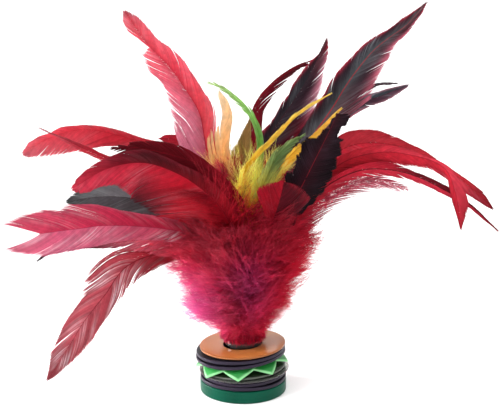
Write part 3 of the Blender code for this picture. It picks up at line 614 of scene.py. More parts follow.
             right=[(0.35, (164, 20, 40)), (0.50, (172, 44, 58)), (0.62, (188, 80, 92)), (0.82, (192, 86, 98)), (1.02, (128, 52, 58))],
             start=0.28, stem=(116, 20, 34), sheen=((244, 220, 226), 1.0), gaps=[(1, 0.80, 3.0, 0.05), (-1, 0.47, 2.2, 0.25), (-1, 0.54, 1.6, 0.3)],
             fray=[(1, 0.46, 0.585, 0.46, 4.2), (-1, 0.36, 0.585, 0.45, 5.0)], edge=((170, 84, 94), 0.3), brink=0.2,
             ang=((0.0, 0.4, 0.7, 1.0), (22.0, 21.0, 21.0, 13.0)), streak=1.7, stem_r=0.28, tuft=140, tuft_len=12.0,
             tuft_from=0.12, tuft_to=0.40, tuft_way=0.9)),
    "rounded_small_feather": ("maroon_feather", 0, [
        (238, 222, 17), (228, 186, 21), (212, 163, 24), (194, 148, 26), (176, 140, 27),
        (159, 138, 28)],
        ("mm", [(0.6, 1.4), (0.80, 2.8), (0.92, 2.3), (0.98, 1.5)]),
        ("mm", [(0.6, 1.4), (0.80, 2.8), (0.92, 2.4), (0.98, 1.6)]),
        look(left=[(0.5, (130, 14, 30)), (1.0, (160, 24, 42))], right=[(0.5, (130, 14, 30)), (1.0, (166, 26, 44))],
             start=0.55, tuft_to=0.44, stem=(90, 10, 22))),
    "peach_feather": ("peach_feather", -25, [
        (238, 228, 4), (229, 185, 6), (222, 158, 7), (223, 135, 8), (226, 115, 9),
        (219, 91, 10)],
        ("px", [(214, 178), (208, 164), (205, 152), (206.5, 142), (210, 131), (217, 127), (219, 122), (221.5, 113), (219.5, 104), (218, 96)]),
        ("px", [(234, 168), (230, 154), (229, 143), (230.5, 131), (232, 122), (232, 113), (229, 104), (226, 98)]),
        look(left=[(0.45, (246, 170, 66)), (0.66, (238, 164, 76)), (0.80, (249, 212, 154)), (1.0, (252, 236, 208))],
             right=[(0.45, (244, 164, 58)), (0.66, (234, 154, 62)), (0.80, (247, 204, 140)), (1.0, (252, 234, 202))],
             start=0.38, stem=(246, 206, 152), stem_r=0.24, fray=[(-1, 0.42, 0.82, 0.45, 4.6)],
             edge=((252, 234, 204), 0.4), brink=0.06, streak=0.5, ang=((0, 0.6, 1.0), (24, 20, 12)), tuft=120,
             tuft_len=13.0, tuft_from=0.35, tuft_to=0.66, tuft_way=1.5, tuft_dye=[(0.3, (255, 226, 100)), (0.6, (254, 216, 140))], tuft_up=0.4)),
    "green_hackle": ("green_feather", 15, [
        (248, 225, 0), (257, 180, 0), (260, 148, 0), (258, 132, 0), (251, 115, 0),
        (238, 101, 0), (223, 89, 0), (207, 81.5, 0)],
        ("mm", [(0.40, 1.6), (0.6, 1.7), (0.78, 1.3), (0.9, 0.9), (0.98, 0.5)]),
        ("mm", [(0.40, 1.8), (0.6, 1.9), (0.78, 1.7), (0.9, 1.5), (0.98, 0.8)]),
        look(left=[(0.38, (240, 140, 48)), (0.47, (252, 224, 88)), (0.6, (232, 220, 100)), (0.70, (142, 196, 98)), (0.85, (172, 216, 128)), (1.0, (214, 234, 168))],
             right=[(0.38, (240, 140, 48)), (0.47, (252, 226, 92)), (0.6, (230, 218, 98)), (0.70, (132, 192, 92)), (0.85, (176, 220, 130)), (1.0, (216, 236, 172))],
             start=0.38, stem=[(0.4, (240, 206, 80)), (0.62, (200, 200, 84)), (0.72, (120, 176, 78))], clump=5.0, fray=[(1, 0.70, 1.0, 0.7, 5.0), (-1, 0.76, 1.0, 0.6, 5.0),
                                                              (1, 0.38, 0.6, 0.35, 4.0), (-1, 0.38, 0.6, 0.35, 4.0)],
             ang=((0, 0.6, 1.0), (20, 13, 8)), edge=((222, 240, 180), 0.4), stem_r=0.26, streak=1.3, tuft=120, tuft_len=13.0,
             tuft_from=0.33, tuft_to=0.57, tuft_way=1.6, tuft_dye=[(0.36, (230, 110, 40)), (0.43, (252, 204, 78)), (0.49, (252, 244, 118)), (0.6, (212, 236, 130))], tuft_up=0.3)),
    "olive_feather": ("olive_feather", -10, [
        (242, 228, 6), (243, 190, 9), (245, 160, 11), (247, 140, 12), (250, 119, 13)],
        ("px", [(234, 186), (229, 174), (228, 162), (229, 150), (236, 143.5), (240, 135), (243, 129), (248, 121)]),
        ("mm", [(0.5, 1.6), (0.7, 2.8), (0.85, 2.4), (0.97, 0.9)]),
        look(left=[(0.24, (246, 190, 70)), (0.32, (240, 232, 96)), (0.46, (226, 232, 98)), (0.62, (222, 214, 100)), (0.76, (206, 172, 98)), (1.0, (172, 134, 86))],
             right=[(0.48, (240, 140, 48)), (0.57, (248, 226, 88)), (0.68, (234, 222, 92)), (0.78, (202, 166, 94)), (1.0, (168, 130, 84))],
             start=0.22, stem=(170, 150, 76), edge=((212, 196, 124), 0.4), streak=1.2, ang=((0, 0.6, 1.0), (22, 18, 12)),
             stem_r=0.24, brink=0.10, tuft=150, tuft_len=14.0, tuft_from=0.38, tuft_to=0.74, tuft_way=1.7,
             tuft_dye=[(0.46, (230, 110, 40)), (0.53, (252, 200, 76)), (0.59, (254, 238, 110)), (0.75, (236, 236, 124))], tuft_up=0.5)),
    "yellow_spike": ("yellow_feather", 35, [
        (242, 222, -6), (241, 188, -8), (246, 168, -9), (256, 156, -9.5), (267, 145, -10),
        (280, 131.6, -10.5), (293.6, 117.3, -11), (309.6, 105.7, -11), (320.4, 99.5, -11),
        (331, 93.7, -11)],
        ("mm", [(0.3, 2.4), (0.45, 2.0), (0.6, 1.6), (0.8, 1.15), (0.97, 0.4)]),
        ("mm", [(0.3, 5.0), (0.42, 4.4), (0.52, 2.2), (0.6, 1.6), (0.8, 1.15), (0.97, 0.4)]),
        look(left=[(0.38, (240, 130, 40)), (0.47, (255, 208, 60)), (0.6, (255, 224, 72)), (1.0, (255, 234, 136))],
             right=[(0.38, (240, 130, 40)), (0.47, (255, 216, 80)), (0.6, (255, 220, 66)), (1.0, (255, 230, 120))],
             start=0.28, stem=(250, 206, 70), ang=((0, 0.4, 1.0), (24, 15, 9)), clump=5.0,
             fray=[(1, 0.28, 0.52, 0.5, 3.6)], edge=((254, 234, 150), 0.35), core=((240, 176, 30), 0.3), stem_r=0.24, tuft=230,
             tuft_len=12.0, tuft_from=0.30, tuft_to=0.56, tuft_way=1.9, tuft_dye=[(0.36, (226, 96, 36)), (0.43, (250, 160, 54)), (0.48, (255, 228, 96)), (0.6, (255, 244, 146))], tuft_up=0.6)),
    "dull_green_feather": ("dull_green_feather", 10, [
        (254, 226, -2), (260, 195, -3), (268, 174, -3), (276, 158, -3), (288, 145, -3),
        (304, 135, -3)],
        ("mm", [(0.5, 1.4), (0.7, 3.0), (0.86, 2.2), (0.98, 0.7)]),
        ("mm", [(0.5, 1.6), (0.68, 3.8), (0.80, 4.4), (0.90, 3.0), (0.98, 0.8)]),
        look(left=[(0.46, (250, 186, 70)), (0.55, (250, 230, 108)), (0.72, (214, 210, 112)), (0.82, (150, 176, 106)), (1.0, (146, 174, 112))],
             right=[(0.46, (250, 180, 66)), (0.55, (248, 224, 104)), (0.72, (196, 198, 106)), (0.82, (118, 150, 88)), (1.0, (130, 160, 100))],
             start=0.40, stem=[(0.4, (236, 204, 86)), (0.7, (196, 190, 96)), (0.84, (130, 150, 84))], edge=((196, 206, 140), 0.5), sheen=((206, 214, 150), 0.5), fray=[(1, 0.4, 1.0, 0.35, 4.0), (-1, 0.4, 1.0, 0.4, 4.0)],
             ang=((0, 0.6, 1.0), (22, 16, 10)), streak=1.4, tuft=170, tuft_len=12.0, tuft_from=0.34, tuft_to=0.68, tuft_way=1.8,
             tuft_dye=[(0.44, (230, 110, 40)), (0.51, (252, 196, 74)), (0.57, (254, 240, 128)), (0.8, (180, 204, 124))], tuft_up=0.5)),
    "yellow_back_feather": ("yellow_feather", -8, [
        (256, 222, 4), (263, 193, 5), (274, 173, 5.5), (290, 156, 6), (312, 136, 6.5),
        (328, 121, 7), (342, 108, 7)],
        ("px", [(278, 172), (290, 160.5), (300, 151.5), (308, 141), (316.5, 132.5), (324, 124.5), (332, 115.5), (339, 109)]),
        ("mm", [(0.4, 2.0), (0.48, 4.6), (0.6, 5.0), (0.7, 3.2), (0.8, 2.6), (0.95, 1.0)]),
        look(left=[(0.4, (250, 170, 44)), (0.54, (255, 214, 72)), (0.8, (255, 220, 90)), (1.0, (250, 218, 114))],
             right=[(0.4, (248, 160, 40)), (0.54, (255, 206, 66)), (0.8, (252, 208, 76)), (1.0, (248, 214, 108))],
             start=0.38, stem=(226, 160, 50), fray=[(-1, 0.4, 0.9, 0.5, 3.0)], edge=((250, 222, 130), 0.3), tuft=300,
             tuft_len=11.0, tuft_from=0.42, tuft_to=0.64, tuft_way=1.3, tuft_dye=[(0.4, (255, 226, 100)), (0.7, (255, 230, 136))], tuft_up=0.7)),
    "tall_black_feather": ("black_red_feather", -22, [
        (262, 232, 10), (274, 196, 14), (291, 165, 17), (312, 136, 20), (324.5, 119.4, 22),
        (335, 104, 24), (346, 85.7, 26), (358, 69, 28), (373.5, 50.5, 30), (390, 37, 32),
        (405.6, 26, 33), (426.7, 2.3, 35)],
        ("px", [(296, 130), (306, 115), (315, 104), (324.5, 92), (331, 78), (340, 67), (350, 56.5), (369, 39),
                (389, 28), (401, 18), (413, 11)]),
        ("px", [(336, 125), (350, 113), (358, 106), (370, 95), (373, 87), (376, 78), (381, 69), (389, 57),
                (396, 44), (406, 34), (416, 21), (423, 12)]),
        look(left=[(0.4, (66, 8, 22)), (0.55, (38, 10, 24)), (0.8, (30, 18, 30)), (1.02, (60, 14, 26))],
             right=[(0.4, (120, 12, 32)), (0.58, (88, 12, 30)), (0.72, (40, 16, 30)), (1.02, (80, 14, 28))],
             fringe=[(1, 0.58, 0.99, (222, 130, 152), 0.7, 3.0)],
             # the grey core is a painted highlight along the rachis
             start=0.40, stem=(170, 24, 42), core=((92, 102, 104), 0.5), edge=((200, 50, 74), 0.9), hem=3.6,
             sheen=((150, 156, 162), 0.45), fray=[(1, 0.46, 0.62, 0.30, 5.0)], stem_r=0.32)),
    "short_black_feather": ("black_red_feather", 12, [
        (252, 224, 8), (258, 184, 11), (263, 155, 13), (275, 128, 15), (291, 105, 16),
        (306, 82, 17), (317, 60, 18), (327, 38.8, 19)],
        ("px", [(258, 140), (262, 131), (271, 122), (276, 115), (283, 101), (290, 93), (293, 84), (298, 77),
                (305, 67), (313, 59), (319, 53)]),
        ("px", [(284, 160), (293, 146), (301, 133), (310, 119), (317, 106), (321, 92), (323, 78), (326, 65), (329, 54), (328.5, 44)]),
        look(left=[(0.4, (96, 10, 26)), (0.6, (34, 14, 24)), (0.85, (26, 16, 24)), (1.0, (60, 14, 24))],
             right=[(0.4, (130, 12, 32)), (0.55, (96, 10, 30)), (0.66, (44, 12, 26)), (0.85, (40, 14, 26)), (1.0, (96, 18, 32))],
             # the grey core is a painted highlight along the rachis
             start=0.40, stem=(60, 14, 26), core=((60, 62, 68), 0.35), edge=((206, 60, 86), 0.85), hem=3.4,
             fringe=[(1, 0.40, 0.76, (96, 8, 28), 0.9, 1.0), (1, 0.74, 0.97, (228, 156, 178), 0.8, 2.4)],
             sheen=((120, 124, 130), 0.3), fray=[(1, 0.74, 0.95, 0.16, 4.0)], stem_r=0.28)),
    "split_strand_feather": ("maroon_feather", 30, [
        (247, 215, 18), (250, 170, 22), (251, 135, 25), (254, 110, 27), (261, 97, 28),
        (271, 86, 29), (283, 75.5, 30), (297, 66.5, 31), (312, 60.5, 32)],
        ("mm", [(0.45, 0.8), (0.7, 1.0), (0.85, 0.9), (0.97, 0.5)]),
        ("mm", [(0.40, 3.4), (0.52, 6.0), (0.66, 6.2), (0.80, 5.2), (0.95, 2.4), (0.99, 1.0)]),
        look(left=[(0.4, (150, 16, 34)), (0.8, (130, 18, 34)), (1.0, (90, 18, 28))],
             right=[(0.4, (170, 20, 42)), (0.6, (148, 16, 38)), (0.8, (110, 12, 30)), (1.0, (80, 14, 26))],
             start=0.40, stem=(120, 12, 28), ang=((0, 0.5, 1.0), (14, 12, 9)), stem_r=0.55,
             fray=[(1, 0.62, 1.0, 0.45, 8.0)], gaps=[(1, 0.66, 2.4, 0.3), (1, 0.74, 2.4, 0.2), (1, 0.82, 1.4, 0.2)])),
    "stepped_black_feather": ("black_red_feather", -6, [
        (262, 252, -11), (277, 230, -14), (291, 206, -15), (303, 184, -16), (315, 160, -16),
        (326, 138, -16), (338, 113, -16)],
        ("px", [(268, 212), (278, 196), (283, 183), (285, 171.5), (294, 168.5), (295, 156), (300, 151.5), (300, 143.5),
                (305, 137.5), (320, 135.5), (322, 127.5), (329, 126), (331, 117)]),
        ("px", [(302, 214), (308, 209.5), (317, 201), (329, 186), (334, 175), (339, 161), (343, 150), (343.5, 140),
                (337.5, 136.5), (346, 125.5), (354, 115.5)]),
        look(left=[(0.3, (52, 6, 16)), (0.5, (24, 9, 17)), (0.8, (20, 8, 15)), (1.0, (28, 14, 21))],
             right=[(0.3, (52, 6, 16)), (0.5, (24, 8, 16)), (0.8, (20, 8, 15)), (1.0, (28, 13, 20))],
             start=0.42, stem=(110, 20, 32), ang=((0, 0.5, 0.85, 1.0), (56, 50, 52, 62)), clump=5.2, tip=0.6, split=0.06,
             core=((84, 22, 34), 0.2), sheen=((70, 56, 68), 0.25), edge=((20, 8, 14), 0.4), thin=0.1,
             teeth=[(1, 6.2, 1.5), (-1, 6.0, 0.9)],
             gaps=[(-1, 0.60, 0.6, 0.25), (-1, 0.67, 0.5, 0.2), (-1, 0.74, 0.6, 0.25), (-1, 0.80, 0.5, 0.3), (1, 0.66, 0.5, 0.3)])),
    "small_black_leaf": ("black_red_feather", 5, [
        (272, 226, 18), (290, 188, 25), (312, 150, 31), (335, 121, 36), (357, 105, 39),
        (384, 95, 42), (409, 85, 44)],
        ("mm", [(0.60, 1.0), (0.78, 3.0), (0.92, 2.3), (0.99, 0.8)]),
        ("mm", [(0.60, 1.0), (0.78, 3.4), (0.92, 2.8), (0.99, 0.9)]),
        look(left=[(0.5, (50, 12, 24)), (0.75, (40, 36, 46)), (0.9, (62, 66, 74)), (1.0, (54, 40, 52))],
             right=[(0.5, (60, 14, 26)), (0.75, (52, 34, 46)), (1.0, (96, 60, 76))],
             start=0.58, stem=(70, 30, 42), edge=((222, 150, 168), 0.6), sheen=((150, 156, 166), 0.6),
             fray=[(1, 0.78, 0.97, 0.2, 3.0)])),
    "small_black_sliver": ("black_red_feather", 40, [
        (270, 218, 24), (290, 176, 32), (315, 135, 39), (343, 104, 45), (373, 86, 49),
        (398, 83, 52)],
        ("mm", [(0.62, 0.5), (0.8, 1.6), (0.97, 0.6)]),
        ("mm", [(0.62, 0.5), (0.8, 1.7), (0.97, 0.6)]),
        look(left=[(0.5, (60, 20, 32)), (1.0, (50, 28, 40))], right=[(0.5, (60, 20, 32)), (1.0, (60, 28, 42))],
             start=0.60, stem=(70, 24, 36))),
    "right_red_feather": ("red_feather", -10, [
        (272, 240, 4), (292, 203, 6), (316, 170, 7), (345, 148, 8), (366, 143, 9),
        (386, 144, 10), (407, 148.5, 11), (427, 157.7, 12), (444, 166.8, 13), (462, 180.6, 14),
        (480.6, 197.5, 15), (493.6, 209.7, 15)],
        ("px", [(322, 150), (338, 136), (350, 130), (366, 128.5), (380, 130), (395, 136), (410, 143.5), (427, 152),
                (442, 163), (456, 172), (470, 181.5), (484, 192.5)]),
        ("px", [(322, 196), (338, 183), (354, 173), (370, 166), (386, 163), (407, 166), (430, 169), (448, 180),
                (468, 195), (487, 207)]),
        look(left=[(0.35, (150, 20, 38)), (0.6, (182, 42, 54)), (0.88, (200, 44, 58)), (1.02, (100, 16, 26))],
             right=[(0.35, (156, 18, 38)), (0.6, (206, 44, 62)), (0.88, (206, 56, 74)), (1.02, (110, 18, 30))],
             start=0.36, stem=(140, 14, 30), stem_r=0.26, brink=0.12, sheen=((232, 136, 148), 0.35, 1), edge=((160, 18, 36), 0.3),
             fray=[(1, 0.36, 0.56, 0.25, 6.0)], gaps=[(-1, 0.62, 0.9, 0.5), (1, 0.74, 1.6, 0.3)], streak=0.8,
             ang=((0.0, 0.5, 0.8, 1.0), (34.0, 25.0, 20.0, 13.0)))),
    "curled_red_feather": ("red_feather", 10, [
        (272, 246, -5), (293, 214, -7), (318, 182, -9), (348, 160, -10), (385, 152, -11),
        (415, 156, -11), (435, 162, -11), (447, 171, -11), (453, 184, -11), (458, 204, -11),
        (460.7, 229.6, -11)],
        ("px", [(318, 172), (335, 160), (352, 151), (385, 145), (412, 150), (430, 158), (446, 165), (457, 177), (465, 191),
                (469, 204), (467, 214), (464, 222)]),
        ("px", [(322, 190), (336, 180), (354, 170), (385, 163), (408, 165), (425, 166), (440, 172), (448, 178), (449, 187),
                (452.5, 204), (457, 218)]),
        look(left=[(0.6, (188, 32, 48)), (0.85, (222, 66, 84)), (1.0, (176, 36, 52))],
             right=[(0.6, (182, 28, 44)), (0.85, (208, 44, 62)), (1.0, (160, 26, 42))],
             start=0.34, stem=(130, 14, 30), stem_r=0.26, edge=((130, 14, 28), 0.35), brink=0.12)),
    "thin_edged_feather": ("crimson_feather", 25, [
        (278, 246, -9.5), (302, 212, -13), (330, 184, -14), (362, 170, -13), (392, 170, -11),
        (418, 177, -8.5), (448, 192, -6.5), (470, 205, -6), (499, 232, -6)],
        ("px", [(362, 165), (386, 162), (401, 166), (416, 172.5), (432, 179), (450, 188), (468, 202), (481, 213)]),
        ("mm", [(0.35, 2.0), (0.5, 3.6), (0.65, 3.4), (0.8, 2.2), (0.95, 0.9)]),
        look(left=[(0.4, (208, 38, 60)), (0.60, (198, 32, 54)), (0.74, (112, 12, 28)), (1.0, (110, 16, 28))],
             right=[(0.4, (190, 30, 50)), (0.8, (212, 52, 74)), (1.0, (160, 28, 44))],
             start=0.34, stem=(84, 10, 22), fray=[(1, 0.36, 0.7, 0.35, 5.0)],
             ang=((0.0, 0.5, 1.0), (24.0, 17.0, 11.0)))),
    "frayed_right_feather": ("crimson_feather", -15, [
        (276, 254, -1), (298, 226, -1), (324, 199, -1), (352, 184, -1), (380, 181, -1),
        (410, 190, -1)],
        ("mm", [(0.3, 3.0), (0.5, 4.6), (0.8, 4.0), (0.97, 1.4)]),
        ("mm", [(0.3, 3.0), (0.5, 6.0), (0.8, 5.0), (0.97, 1.8)]),
        look(left=[(0.3, (160, 18, 40)), (0.6, (190, 40, 64)), (1.0, (214, 100, 122))],
             right=[(0.3, (160, 18, 40)), (0.6, (194, 50, 74)), (1.0, (218, 116, 138))],
             start=0.26, stem=(170, 40, 62), fray=[(1, 0.26, 1.0, 0.65, 3.4), (-1, 0.26, 1.0, 0.6, 3.4)], gap=0.36, fat=0.62,
             ang=((0.0, 0.5, 1.0), (22.0, 17.0, 11.0)), thin=0.8, stem_r=0.2, tuft=260, tuft_len=13.0, tuft_from=0.15,
             tuft_to=0.85, tuft_way=1.5, tuft_dye=[(0.2, (170, 24, 48)), (0.6, (204, 70, 96)), (0.9, (222, 130, 150))])),
    "front_rounded_feather": ("maroon_feather", 0, [
        (254, 262, -15), (266, 236, -20), (276, 212, -22), (281, 195, -22), (284, 181, -22)],
        ("px", [(240, 226), (245, 212), (250, 202), (254.5, 194), (259, 188), (266, 184), (275, 182)]),
        ("px", [(300, 222), (307, 210), (310.5, 200.5), (304, 191.5), (295, 185)]),
        look(left=[(0.3, (160, 14, 34)), (0.7, (148, 12, 30)), (1.1, (136, 12, 30))],
             right=[(0.3, (128, 10, 28)), (0.7, (82, 8, 22)), (1.1, (70, 8, 20))], streak=1.6,
             start=0.73, stem=(120, 12, 30), stem_r=0.22, tip=0.4, ang=((0, 0.4, 0.8, 1.0), (46, 40, 34, 22)),
             edge=((186, 30, 50), 0.5), hem=5.0, camber=0.05, tuft=260, tuft_len=10.5, tuft_from=0.36, tuft_to=0.80, tuft_way=0.9,
             tuft_dye=[(0.3, (160, 16, 40)), (0.8, (140, 14, 34))], fluff=16, tuft_right=0.72)),
    "back_arched_feather": ("red_feather", 0, [
        (246, 244, 17), (249, 212, 29), (252, 192, 45), (254, 184, 62), (256, 184, 78),
        (258, 192, 92)],
        ("mm", [(0.3, 2.5), (0.5, 6.0), (0.75, 6.0), (0.92, 3.6), (0.99, 1.0)]),
        ("mm", [(0.3, 2.5), (0.5, 6.0), (0.75, 6.0), (0.92, 3.6), (0.99, 1.0)]),
        look(left=[(0.3, (160, 18, 36)), (0.7, (190, 36, 54)), (1.0, (120, 20, 32))],
             right=[(0.3, (160, 18, 36)), (0.7, (184, 32, 50)), (1.0, (120, 20, 32))],
             start=0.34, stem=(120, 14, 28), sheen=((226, 116, 130), 0.35), fray=[(-1, 0.34, 0.5, 0.7, 4.0)])),
    "back_left_feather": ("coral_feather", 0, [
        (232, 252, 14), (215, 226, 25), (195, 206, 38), (176, 196, 52), (160, 196, 66),
        (146, 206, 78)],
        ("mm", [(0.3, 2.5), (0.5, 5.6), (0.75, 5.8), (0.92, 3.6), (0.99, 1.0)]),
        ("mm", [(0.3, 2.5), (0.5, 5.6), (0.75, 5.8), (0.92, 3.6), (0.99, 1.0)]),
        look(left=[(0.3, (176, 26, 46)), (0.7, (222, 72, 92)), (1.0, (150, 50, 60))],
             right=[(0.3, (170, 22, 44)), (0.7, (216, 62, 84)), (1.0, (150, 50, 60))],
             start=0.36, stem=(186, 32, 52), sheen=((244, 180, 196), 0.4), fray=[(1, 0.36, 0.55, 0.7, 4.0)])),
    "back_right_feather": ("crimson_feather", 0, [
        (260, 250, 14), (277, 222, 25), (295, 202, 38), (310, 192, 52), (321, 192, 66),
        (328, 202, 77)],
        ("mm", [(0.3, 2.5), (0.5, 5.6), (0.75, 5.8), (0.92, 3.6), (0.99, 1.0)]),
        ("mm", [(0.3, 2.5), (0.5, 5.6), (0.75, 5.8), (0.92, 3.6), (0.99, 1.0)]),
        look(left=[(0.3, (150, 16, 34)), (0.7, (150, 20, 40)), (1.0, (90, 16, 28))],
             right=[(0.3, (150, 16, 34)), (0.7, (160, 24, 44)), (1.0, (96, 16, 28))],
             start=0.36, stem=(100, 12, 26), sheen=((206, 90, 108), 0.35), fray=[(-1, 0.36, 0.55, 0.7, 4.0)])),
    "back_low_left_feather": ("pink_feather", 0, [
        (236, 262, 16), (226, 246, 27), (213, 236, 40), (202, 236, 54), (193, 246, 66)],
        ("mm", [(0.3, 2.5), (0.5, 5.2), (0.75, 5.4), (0.92, 3.2), (0.99, 1.0)]),
        ("mm", [(0.3, 2.5), (0.5, 5.2), (0.75, 5.4), (0.92, 3.2), (0.99, 1.0)]),
        look(left=[(0.3, (180, 34, 60)), (0.7, (206, 92, 118)), (1.0, (190, 90, 110))],
             right=[(0.3, (174, 30, 54)), (0.7, (198, 70, 98)), (1.0, (190, 90, 110))],
             start=0.36, stem=(176, 44, 70), sheen=((240, 200, 212), 0.5), fray=[(1, 0.36, 0.6, 0.7, 4.0)])),
    "back_low_right_feather": ("red_feather", 0, [
        (254, 262, 16), (264, 246, 27), (275, 236, 40), (283, 236, 54), (289, 246, 66)],
        ("mm", [(0.3, 2.5), (0.5, 5.2), (0.75, 5.4), (0.92, 3.2), (0.99, 1.0)]),
        ("mm", [(0.3, 2.5), (0.5, 5.2), (0.75, 5.4), (0.92, 3.2), (0.99, 1.0)]),
        look(left=[(0.3, (160, 18, 36)), (0.7, (184, 34, 52)), (1.0, (130, 22, 36))],
             right=[(0.3, (160, 18, 36)), (0.7, (190, 40, 58)), (1.0, (130, 22, 36))],
             start=0.36, stem=(120, 14, 28), sheen=((226, 116, 130), 0.35), fray=[(-1, 0.36, 0.6, 0.7, 4.0)])),
}
FACE_UP = {"back_arched_feather", "back_left_feather", "back_right_feather",
           "back_low_left_feather", "back_low_right_feather"}


def foot_of(node):
    """Centre of a feather's foot in the tube, from its frame node."""
    co = np.array([v.co for v in frame["nodes"][node].data.vertices]) / MM
    low = co[co[:, 2] < co[:, 2].min() + 0.05]
    return low[:, 0].mean(), low[:, 1].mean()


def feather(number, node):
    slot, roll, points, left, right, how = FEATHERS[node]
    rng = np.random.default_rng(100 + number)
    sx, sy = foot_of(node)
    fan = 0.0 if node in FACE_UP else SPREAD / (len(points) - 1)
    body = [sheet(c, r, back * (1.0 + fan * i)) for i, (c, r, back) in enumerate(points)]
    knots = [np.array((sx, sy, TUBE_TOP + 0.5)), np.array((sx * 1.75, sy * 1.75, TUBE_TOP + 9.0))] + body
    level = node in FACE_UP
    run = body[-1] - knots[0]
    across = unit(np.array((run[1], -run[0], 0.0)))
    shaft = Shaft(knots, across if level else -AHEAD, roll, level=level)
    total = shaft.length
    pile = Pile()

    first = how["start"] * total
    last = total * how.get("ends", 0.995)
    for sgn, spec, band in ((1, right, (0.66, 1.0)), (-1, left, (0.32, 0.66))):
        vane(pile, shaft, sgn, outline(shaft, spec, first, how["tip"]), first, last, how, rng, band)

    # rachis
    xs = np.linspace(-2.0, last, 70)
    stem = shaft.at(np.maximum(xs, 0.0))[0]
    stem[xs < 0, 2] += xs[xs < 0]
    q = np.clip(xs / total, 0, 1)
    radius = how["stem_r"] * (1 - 0.78 * q) * (0.7 + 0.3 * np.clip((q - 0.25) / 0.15, 0, 1))
    stem_dye = how["stem"] if isinstance(how["stem"], list) else [(0.0, how["stem"])]
    bark = mix(rgb((176, 26, 62)), ramp(stem_dye, q), np.clip((q - 0.32) / 0.12, 0, 1)[:, None])
    tube(pile, stem, radius, bark, (0.29, 0.32))

    # downy barbs at the foot of the vane
    n = how["tuft"]
    to = how["tuft_to"] or how["start"] + 0.10
    s = how["tuft_from"] + (to - how["tuft_from"]) * (np.arange(n) + rng.random(n)) / n
    p, t, b, up = shaft.at(s * total)
    flip = np.where((np.arange(n) * 0.618) % 1.0 < how["tuft_right"], 1.0, -1.0)[:, None]
    way = unit(how["tuft_way"] * t + b * flip * (0.6 + 0.3 * rng.random((n, 1)))
               + up * (how["tuft_up"] + 0.35 * rng.standard_normal((n, 1))))
    bend = 0.22 * t + 0.12 * rng.standard_normal((n, 3))
    length = how["tuft_len"] * (0.65 + 0.6 * rng.random(n))
    tone = (0.85 + 0.3 * rng.random((n, 1)))
    dye = how["tuft_dye"] or how["left"]
    root = ramp(dye, s) * tone
    end = np.clip(root * 1.15 + 0.015, 0, 1)
    down(pile, p, way, bend, length, root, end, rng, (0.0, 0.29), 1, barbules=how["fluff"])

    ob = pile.build("look_" + node, feather_material(slot))
    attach(ob, "core")
    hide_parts(node)


for number, node in enumerate(FEATHERS):
    feather(number, node)

# ---------------------------------------------------------------- ball of down
PLUMES = 10
RIGHT_EDGE = ((24.0, 9.6), (28.0, 10.0), (31.0, 14.5), (36.0, 17.2), (40.0, 19.6), (45.0, 21.2), (55.0, 26.0),
              (62.0, 29.5), (71.0, 32.5), (80.0, 31.0), (88.0, 27.0), (96.0, 20.0), (104.0, 12.0))
LEFT_EDGE = ((24.0, 9.6), (28.0, 10.5), (31.0, 16.0), (36.0, 22.5), (40.0, 25.8), (45.0, 27.5), (55.0, 32.0),
             (62.0, 32.5), (71.0, 32.0), (80.0, 31.0), (88.0, 28.0), (96.0, 21.0), (104.0, 12.0))
FRONT_EDGE = ((24.0, 9.6), (28.0, 10.2), (31.0, 15.2), (36.0, 20.0), (40.0, 23.0), (45.0, 25.0), (55.0, 29.5),
              (62.0, 31.5), (71.0, 33.5), (80.0, 33.5), (88.0, 32.0), (96.0, 28.0), (104.0, 18.0))


def ball_edge(p):
    """Radius of the ball of down at a point's height and direction."""
    az = np.arctan2(p[:, 1], p[:, 0])
    full = 0.5 - 0.5 * np.cos(az)
    r = np.interp(p[:, 2], *np.array(RIGHT_EDGE).T) * (1 - full) + np.interp(p[:, 2], *np.array(LEFT_EDGE).T) * full
    ahead = np.clip(-np.sin(az), 0, 1) ** 2
    return mix(r, np.interp(p[:, 2], *np.array(FRONT_EDGE).T), ahead)


def ball_colour(p, rng, tuft):
    """Colour of the down: crimson, purple in the middle of the front, darker towards the top, and hot pink low on the
    left, which is a painted glow of light passing through.
    """
    base = np.broadcast_to(rgb((214, 32, 68)), p.shape).copy()
    x, y, z = p.T
    # painted light: a hot pink glow low on the left, where light passes through the down
    pink = np.clip((-x - 5) / 17, 0, 1) * np.clip((66 - z) / 22, 0, 1) * np.clip((14 - y) / 18, 0.4, 1)
    base = mix(base, rgb((255, 108, 196)), pink[:, None])
    red = np.clip((x - 3) / 12, 0, 1)
    base = mix(base, rgb((224, 26, 56)), (0.85 * red)[:, None])
    purple = np.exp(-((x - 3) / 9.0) ** 2 - ((z - 56) / 18.0) ** 2) * np.clip((-y) / 12, 0, 1)
    base = mix(base, rgb((190, 60, 128)), (0.75 * purple)[:, None])
    dark = np.clip((z - 62) / 18, 0, 1)
    base = mix(base, rgb((190, 24, 52)), (0.85 * dark)[:, None])
    rosy = np.clip((x - 6) / 14, 0, 1) * np.clip((44 - z) / 12, 0, 1)
    base = mix(base, rgb((246, 78, 108)), (0.4 * rosy)[:, None])
    return base * (0.70 + 0.46 * tuft[:, None] + 0.08 * rng.standard_normal((len(p), 1)))


